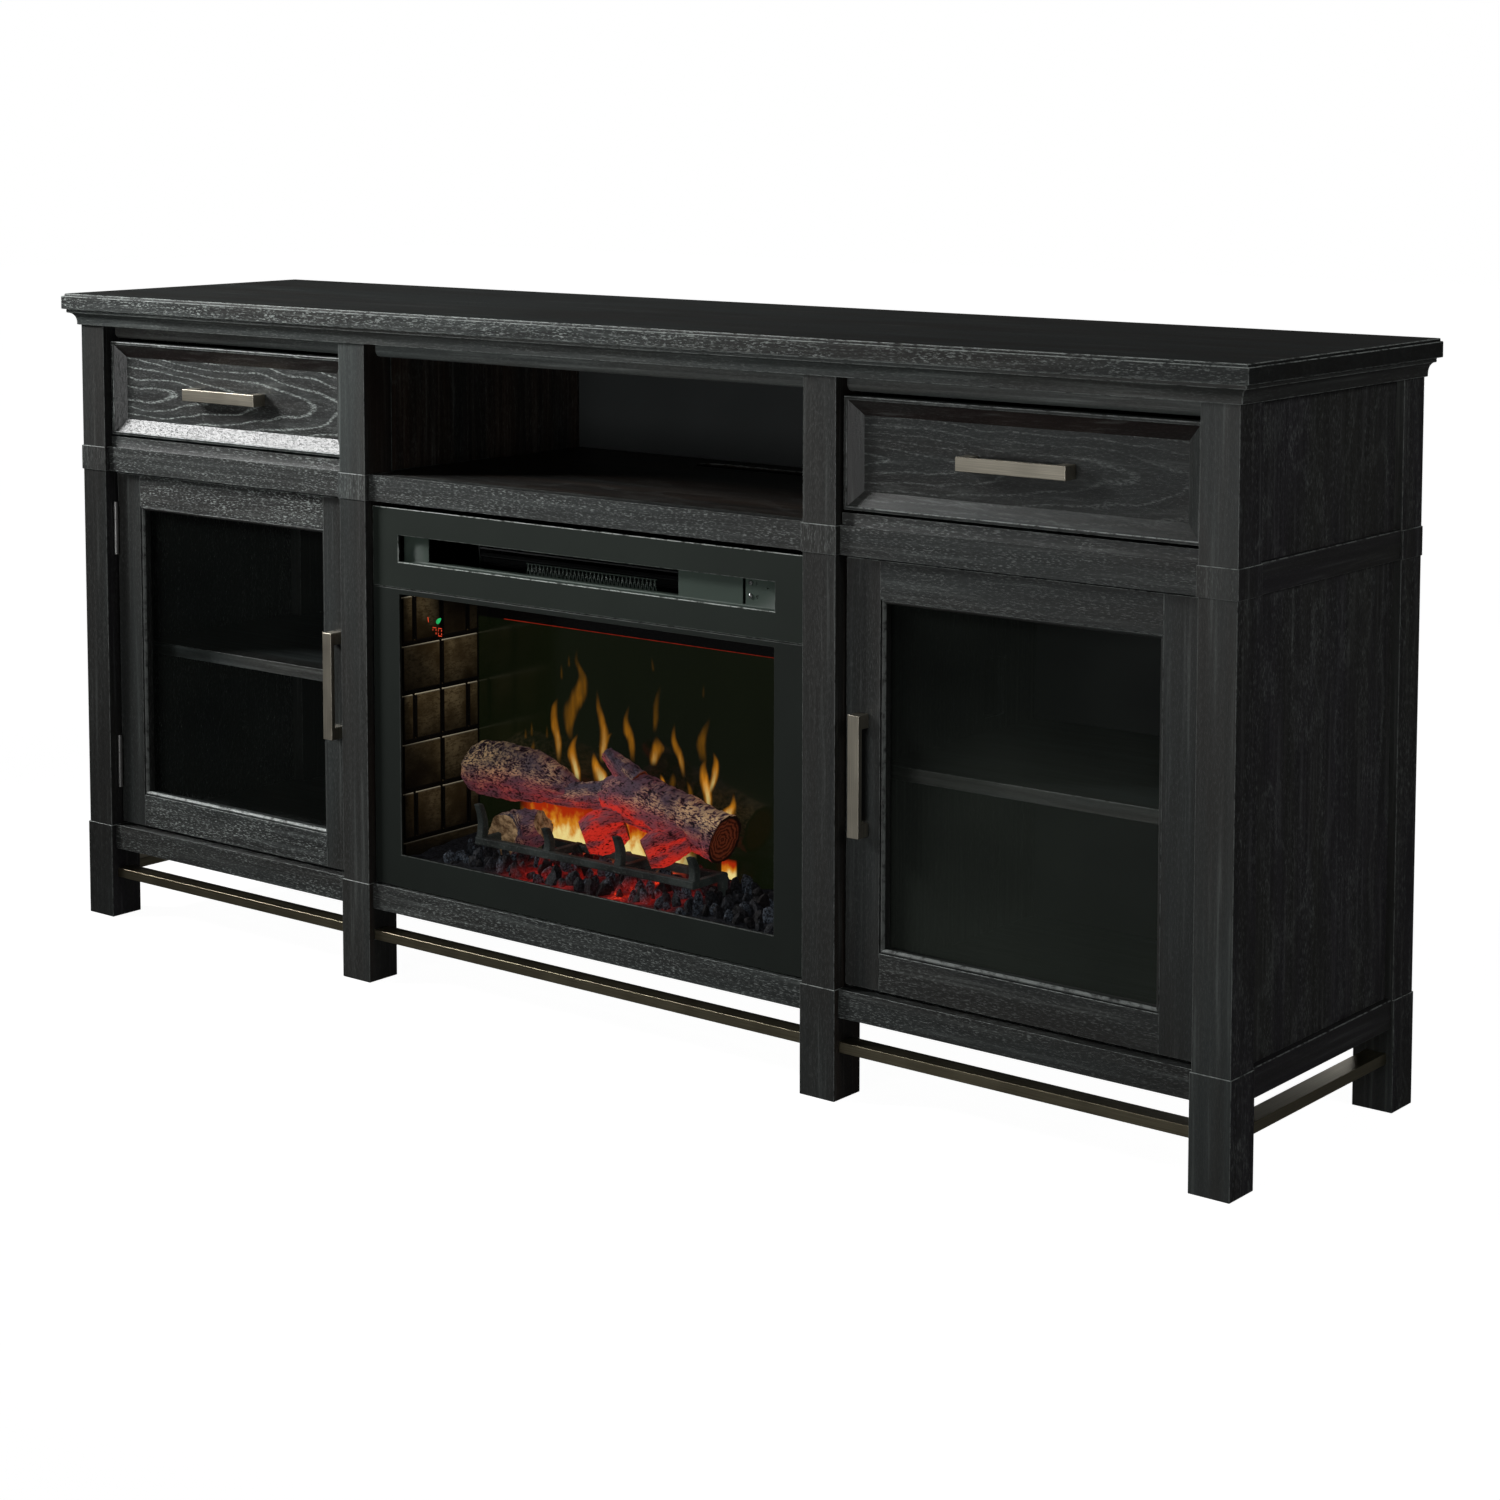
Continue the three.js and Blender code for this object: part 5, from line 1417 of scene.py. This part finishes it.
class CONSOLE_OT_embers(bpy.types.Operator):
    """The bed of coals, and the grate that holds the logs"""

    bl_idname = "console.embers"
    bl_label = "Embers and grate"

    def execute(self, context):
        size = context.scene.console_sizes.ember_size
        mesh = bmesh.new()
        layers = [mesh.loops.layers.float.new(name) for name in ("ember_heat", "pale")]
        draw = random.Random(11)
        front = PANE_HIGH.y + 10 * MM
        rear = SCREEN_LOW.y - 12 * MM
        rows, across = 7, 31
        left, width = -238 * MM, 510 * MM
        for row in range(rows):
            for column in range(across):
                x = left + (column + 0.5 + draw.uniform(-0.35, 0.35)) / across * width
                y = front + (row + draw.uniform(0.1, 0.9)) / rows * (rear - front)
                if y > rear - 8 * MM or x > left + width:
                    continue
                radius = size * draw.uniform(0.8, 1.35)
                z = FIRE_FLOOR + 10 * MM + row * 2.0 * MM + draw.uniform(-3, 3) * MM
                hot = draw.uniform(0.8, 1.4) if draw.random() < 0.38 else draw.uniform(0.0, 0.2)
                pale = draw.uniform(0.6, 1.0) if draw.random() < 0.4 else draw.uniform(0.0, 0.3)
                coal(mesh, Vector((x, y, z)), radius, draw, hot * glow_at(x), pale, layers)
        self.tray(mesh, layers)
        new_piece("ember_bed", mesh, "case", ["embers"], ["log_set"])
        self.grate()
        return {"FINISHED"}

    def tray(self, mesh, layers):
        """The bed under the coals, lit from below between them"""
        columns, rows = 120, 26
        half = SCREEN_HIGH.x - 2 * MM
        front, rear = PANE_HIGH.y + 4 * MM, SCREEN_LOW.y - 1 * MM
        bed = []
        for i in range(columns + 1):
            x = between((-half, half), i / columns)
            bed.append([])
            for j in range(rows + 1):
                y = between((front, rear), j / rows)
                rise = 8 + 10 * j / rows + 3.5 * noise.noise(Vector((x * 45, y * 45, 0)))
                bed[-1].append((mesh.verts.new((x, y, FIRE_FLOOR + rise * MM)), 0.85 * glow_at(x), 0.2))
        woven(mesh, bed, layers)

    def grate(self):
        """Cast bars with upright horns"""
        mesh = bmesh.new()
        front = SCREEN_LOW.y - 102 * MM
        horn_row, leg_row = front + 5 * MM, front + 60 * MM
        rail = FIRE_FLOOR + 33 * MM
        half = 4.5 * MM
        across, deep, tall = (Vector(axis) * half for axis in ((1, 0, 0), (0, 1, 0), (0, 0, 1)))

        def bar(stations, first, second):
            """A square bar through its stations, each a place and a scale"""
            rings = []
            for place, scale in stations:
                corners = ((-scale, -scale), (scale, -scale), (scale, scale), (-scale, scale))
                rings.append([mesh.verts.new(Vector(place) + first * a + second * b) for a, b in corners])
            for one, other in zip(rings, rings[1:]):
                for k in range(4):
                    n = (k + 1) % 4
                    mesh.faces.new((one[k], one[n], other[n], other[k]))
            mesh.faces.new(rings[0][::-1])
            mesh.faces.new(rings[-1])

        horns = (-193 * MM, -86 * MM, 24 * MM, 134 * MM)
        for x, height in zip(horns, (49, 36, 43, 36)):
            horn = []
            for step in range(9):
                part = step / 8
                lean = 6 * MM * math.sin(part * math.pi) - 3 * MM * part
                horn.append(((x, horn_row + lean, rail + part * height * MM), 1.2 - 0.25 * part))
            bar(horn, across, deep)
            bar([((x, leg_row, FIRE_FLOOR + 2 * MM), 1), ((x, leg_row, rail), 1)], across, deep)
        for y, z in ((horn_row, rail + 4 * MM), (leg_row, rail + 2 * MM)):
            bar([((horns[0] - 5 * MM, y, z), 1), ((horns[-1] + 5 * MM, y, z), 1)], deep, tall)
        for x in horns:
            bar([((x, y, rail + 3 * MM), 1) for y in (front + 2 * MM, front + 64 * MM)], across, tall)
        bmesh.ops.recalc_face_normals(mesh, faces=mesh.faces)
        eased(mesh, 1.4 * MM)
        new_piece("log_grate", mesh, "case", ["grate_iron"], ["log_set"])


# Flames: the light of each one, then from its tip down to its foot its place across, its height above the
# fire's floor and half its width before FLAME_SPREAD, in millimetres
FLAME_SPREAD = 1.4
FLAMES = [
    (
        0.5,
        [(-122, 266, 1), (-124, 249, 3), (-114, 230, 6), (-121, 208, 11)]
        + [(-133, 187, 10), (-137, 167, 6), (-133, 148, 3)],
    ),
    (0.72, [(-154, 201, 1), (-160, 187, 4), (-159, 164, 5.5), (-154, 146, 5), (-153, 118, 3)]),
    (1.0, [(-122, 161, 1), (-130, 147, 4), (-131, 133, 6.5), (-126, 117, 6), (-122, 98, 4)]),
    (0.75, [(-92, 219, 1), (-89, 199, 3.5), (-84, 181, 5), (-80, 165, 6.5), (-82, 146, 5), (-84, 128, 4)]),
    (0.5, [(-68, 169, 1), (-74, 163, 3), (-79, 152, 4)]),
    (1.0, [(-97, 142, 1), (-95, 130, 5), (-87, 116, 9.5), (-84, 100, 9)]),
    (0.62, [(-40, 207, 1), (-46, 189, 3.5), (-43, 172, 6.5), (-38, 160, 5), (-35, 134, 3)]),
    (0.32, [(8, 237, 1), (1, 214, 4), (0, 195, 4), (-2, 176, 3)]),
    (0.75, [(1, 175, 1), (3, 162, 7.5), (-1, 150, 7), (-4, 136, 4)]),
    (0.95, [(7, 130, 1), (11, 120, 3.5), (16, 106, 2)]),
    (0.7, [(29, 193, 1), (27, 176, 3.5), (33, 161, 5.5), (39, 148, 4), (43, 128, 2.5)]),
    (0.42, [(83, 208, 1), (73, 188, 5), (69, 172, 6.5), (73, 148, 4.5)]),
    (1.0, [(76, 157, 1), (72, 146, 4), (75, 128, 6.5), (79, 110, 5.5), (81, 90, 3)]),
    (0.88, [(87, 167, 1), (91, 155, 3.5), (88, 136, 4.5), (81, 115, 3)]),
    (1.0, [(117, 123, 1), (117, 109, 4), (110, 98, 8), (111, 78, 5)]),
    (0.35, [(-194, 144, 1), (-195, 134, 3), (-199, 122, 4)]),
    (0.45, [(47, 128, 1), (52, 117, 3.5), (56, 98, 3)]),
    (0.35, [(27, 135, 1), (26, 124, 4.5), (23, 110, 3)]),
    (0.16, [(-148, 243, 1), (-148, 222, 2)]),
    (0.22, [(-207, 157, 1), (-207, 142, 2)]),
    (0.22, [(-197, 166, 1), (-197, 146, 2)]),
    (0.14, [(-172, 165, 1), (-172, 147, 2)]),
    (0.14, [(-136, 256, 1), (-136, 239, 2)]),
    (0.1, [(-6, 267, 1), (-3, 249, 2)]),
    (0.1, [(73, 245, 1), (72, 227, 2)]),
]


class CONSOLE_OT_flames(bpy.types.Operator):
    """Light that the hidden lamp throws on the screen"""

    bl_idname = "console.flames"
    bl_label = "Flames"

    def execute(self, context):
        mesh = bmesh.new()
        layers = [mesh.loops.layers.float.new(name) for name in ("across", "along", "bright")]
        for number, (light, points) in enumerate(FLAMES):
            y = SCREEN_LOW.y - (0.5 + 0.02 * number) * MM
            stations = [(x * MM, 0, z * MM, wide * FLAME_SPREAD * MM) for x, z, wide in reversed(points)]
            path = smooth_stations(stations, 8)
            columns = []
            for k in range(9):
                side = k / 4 - 1
                columns.append([])
                for i, row in enumerate(path):
                    vert = mesh.verts.new((row.x + side * max(row.w, 0.3 * MM), y, FIRE_FLOOR + row.z))
                    columns[-1].append((vert, abs(side), i / (len(path) - 1), light))
            woven(mesh, columns, layers)
        new_piece("flame_light", mesh, "case", ["flame_light"])
        self.glow()
        self.line()
        return {"FINISHED"}

    def glow(self):
        """The lit back of the ember bed, below the line of the logs"""
        mesh = bmesh.new()
        layers = [mesh.loops.layers.float.new(name) for name in ("along", "bright")]
        columns, rows = 64, 16
        y = SCREEN_LOW.y - 0.3 * MM
        foot = 20
        for left, right, head in ((-218, 62, 78), (98, 122, 44)):
            sheet = []
            for i in range(columns + 1):
                u = i / columns
                sheet.append([])
                for j in range(rows + 1):
                    v = j / rows
                    place = (between((left, right), u) * MM, y, FIRE_FLOOR + between((foot, head), v) * MM)
                    fade = min(1.0, (1 - v) * 5) * min(1.0, u * 12) * min(1.0, (1 - u) * 8)
                    sheet[-1].append((mesh.verts.new(place), v, fade))
            woven(mesh, sheet, layers)
        new_piece("fire_glow", mesh, "case", ["fire_glow"])

    def line(self):
        """The thin red line of the lamp strip at the head of the screen"""
        mesh = bmesh.new()
        z = LAMP_STRIP / MM
        flat_face(mesh, SCREEN_LOW.y - 0.6 * MM, [(-242, z), (262, z), (262, z + 0.4), (-242, z + 0.8)])
        new_piece("lamp_line", mesh, "case", ["red_line"])


# The bars of a digit 6 wide and 10 high, in millimetres: left, foot, right, head
DIGIT_BARS = {
    "top": (0, 9.1, 6, 10),
    "foot": (0, 0, 6, 0.9),
    "left_up": (0, 5.9, 0.9, 8.2),
    "left_down": (0, 1.8, 0.9, 4.1),
    "right_up": (5.1, 5.9, 6, 8.2),
    "right_down": (5.1, 1.8, 6, 4.1),
}
# The digits on the display: where each starts, and its lit bars
DIGITS = (
    (-236, ("top", "right_up", "right_down", "left_up")),
    (-227, ("top", "foot", "left_up", "left_down", "right_up", "right_down")),
)
DIGITS_FOOT = 435


class CONSOLE_OT_display(bpy.types.Operator):
    """The temperature that shows behind the pane, and two small marks"""

    bl_idname = "console.display"
    bl_label = "Display"

    def execute(self, context):
        y = PANE_HIGH.y + 0.15 * MM
        mesh = bmesh.new()
        for start, lit in DIGITS:
            for name in lit:
                left, foot, right, head = DIGIT_BARS[name]
                left, right = start + left, start + right
                foot, head = DIGITS_FOOT + foot, DIGITS_FOOT + head
                flat_face(mesh, y, [(left, foot), (right, foot), (right, head), (left, head)])
        flat_face(mesh, y, [(-243.4, 450), (-242.4, 450), (-243.2, 456), (-244.2, 456)])
        new_piece("display_digits", mesh, "case", ["red_light"])
        leaf = bmesh.new()
        points = []
        for k in range(20):
            turn = k / 20 * math.tau
            long, short = 5.2 * math.cos(turn), 2.6 * math.sin(turn) * (1 - 0.35 * math.cos(turn))
            points.append((-226 + long * 0.76 - short * 0.64, 453.5 + long * 0.64 + short * 0.76))
        flat_face(leaf, y, points)
        new_piece("display_lamp", leaf, "case", ["green_light"])
        return {"FINISHED"}


# Lamps: place, target and size in metres, and the spread of the light in degrees
LAMPS = (
    ("key", (-2.8, -1.6, 2.2), (-0.62, -0.2, 0.8), (1.0, 1.0), 40),
    ("front", (0.3, -3.8, 0.6), (0.1, -0.2, 0.78), (2.0, 0.8), 50),
    ("side", (3.6, -0.2, 1.8), (0.85, 0.0, 0.55), (1.2, 1.2), 60),
    ("back", (-0.3, 3.4, 0.42), (0.0, 0.2, 0.42), (2.0, 0.6), 60),
)


def soft_box(name, power, place, target, size, spread):
    """A lamp panel behind a honeycomb that keeps its light within the spread, in degrees"""
    lamp = bpy.data.lights.new(name, "AREA")
    lamp.shape = "RECTANGLE"
    lamp.size, lamp.size_y = size
    lamp.energy = power
    lamp.spread = math.radians(spread)
    holder = bpy.data.objects.new(name, lamp)
    holder.location = place
    holder.rotation_euler = (Vector(target) - Vector(place)).to_track_quat("-Z", "Y").to_euler()
    bpy.context.scene.collection.objects.link(holder)


class CONSOLE_OT_stage(bpy.types.Operator):
    """Pale floor, soft light and the camera"""

    bl_idname = "console.stage"
    bl_label = "Stage"

    def execute(self, context):
        settings = context.scene.console_stage
        self.world(context, settings)
        self.floor(settings)
        for name, *lamp in LAMPS:
            soft_box(f"{name}_light", getattr(settings, f"{name}_power"), *lamp)
        self.camera(context, settings)
        context.scene.view_settings.view_transform = "Standard"
        return {"FINISHED"}

    def world(self, context, settings):
        world = bpy.data.worlds.new("studio")
        context.scene.world = world
        world.use_nodes = True
        graph = Graph(world.node_tree)
        background = world.node_tree.nodes["Background"]
        path = graph.node("ShaderNodeLightPath").outputs
        seen = graph.math("MAXIMUM", path["Is Camera Ray"], path["Is Transmission Ray"])
        gloss = graph.times(path["Is Glossy Ray"], settings.reflection)
        plain = graph.times(path["Is Diffuse Ray"], settings.ambient)
        strength = graph.math("MAXIMUM", seen, graph.math("MAXIMUM", gloss, plain))
        graph.feed(background.inputs["Strength"], strength)
        background.inputs["Color"].default_value = (1.0, 1.0, 1.0, 1.0)

    def floor(self, settings):
        mesh = bmesh.new()
        bmesh.ops.create_grid(mesh, x_segments=8, y_segments=8, size=14.0)
        data = bpy.data.meshes.new("studio_floor")
        mesh.to_mesh(data)
        mesh.free()
        floor = bpy.data.objects.new("studio_floor", data)
        floor.location.z = -0.5 * MM
        bpy.context.scene.collection.objects.link(floor)
        graph, sockets = new_material("studio_floor", specular=0.0)
        nodes = graph.tree.nodes
        surface(graph, sockets, settings.floor, 0.9)
        path = graph.node("ShaderNodeLightPath").outputs
        gloss = graph.times(path["Is Glossy Ray"], settings.reflection)
        away = graph.node("ShaderNodeVectorMath", {"operation": "LENGTH"})
        graph.feed(away.inputs[0], position(graph))
        plain = graph.ramp(away.outputs["Value"], 1.0, 2.4, settings.backdrop, 1.0)
        seen = graph.times(path["Is Camera Ray"], plain)
        through = graph.times(path["Is Transmission Ray"], plain)
        strength = graph.math("MAXIMUM", gloss, graph.math("MAXIMUM", seen, through))
        backdrop = graph.node("ShaderNodeEmission", Color=(1.0, 1.0, 1.0, 1.0), Strength=strength)
        own = graph.node("ShaderNodeMixShader", Fac=path["Is Glossy Ray"])
        added = graph.node("ShaderNodeAddShader")
        dark = graph.node("ShaderNodeEmission", Strength=0.0)
        graph.feed(own.inputs[1], nodes["Principled BSDF"].outputs[0])
        graph.feed(own.inputs[2], dark.outputs[0])
        graph.feed(added.inputs[0], own.outputs[0])
        graph.feed(added.inputs[1], backdrop.outputs[0])
        graph.feed(nodes["Material Output"].inputs["Surface"], added.outputs[0])
        data.materials.append(bpy.data.materials["studio_floor"])

    def camera(self, context, settings):
        data = bpy.data.cameras.new("camera")
        data.lens = settings.focal_length
        data.sensor_width = 36.0
        data.shift_x, data.shift_y = CAMERA_SHIFT
        data.clip_start, data.clip_end = 0.05, 60.0
        camera = bpy.data.objects.new("camera", data)
        yaw, pitch, roll = (math.radians(v) for v in CAMERA_TURNS)
        right = Vector((math.cos(yaw), math.sin(yaw), 0))
        ahead = Vector((-math.sin(yaw) * math.cos(pitch), math.cos(yaw) * math.cos(pitch), -math.sin(pitch)))
        upward = right.cross(ahead)
        turned = math.cos(roll) * right + math.sin(roll) * upward
        raised = -math.sin(roll) * right + math.cos(roll) * upward
        place = Matrix((turned, raised, -ahead)).transposed().to_4x4()
        place.translation = CAMERA_PLACE
        camera.matrix_world = place
        context.scene.collection.objects.link(camera)
        context.scene.camera = camera


class CONSOLE_PT_panel(bpy.types.Panel):
    """Lists the steps that dress the console"""

    bl_idname = "CONSOLE_PT_panel"
    bl_label = "Console"
    bl_space_type = "VIEW_3D"
    bl_region_type = "UI"
    bl_category = "Console"

    def draw(self, context):
        for step in STEPS:
            self.layout.operator(step.bl_idname)


STEPS = (
    CONSOLE_OT_materials,
    CONSOLE_OT_case,
    CONSOLE_OT_bars,
    CONSOLE_OT_drawers,
    CONSOLE_OT_doors,
    CONSOLE_OT_firebox,
    CONSOLE_OT_logs,
    CONSOLE_OT_embers,
    CONSOLE_OT_flames,
    CONSOLE_OT_display,
    CONSOLE_OT_stage,
)
GROUPS = (
    ("console_finish", ConsoleFinish),
    ("console_sizes", ConsoleSizes),
    ("console_stage", ConsoleStage),
)


def register():
    for name, group in GROUPS:
        bpy.utils.register_class(group)
        setattr(bpy.types.Scene, name, bpy.props.PointerProperty(type=group))
    for step in (*STEPS, CONSOLE_PT_panel):
        bpy.utils.register_class(step)


def unregister():
    for step in (CONSOLE_PT_panel, *reversed(STEPS)):
        bpy.utils.unregister_class(step)
    for name, group in reversed(GROUPS):
        delattr(bpy.types.Scene, name)
        bpy.utils.unregister_class(group)


def main():
    register()
    bpy.ops.console.materials()
    bpy.ops.console.case()
    bpy.ops.console.bars()
    bpy.ops.console.drawers()
    bpy.ops.console.doors()
    bpy.ops.console.firebox()
    bpy.ops.console.logs()
    bpy.ops.console.embers()
    bpy.ops.console.flames()
    bpy.ops.console.display()
    bpy.ops.console.stage()


if __name__ == "__main__":
    main()
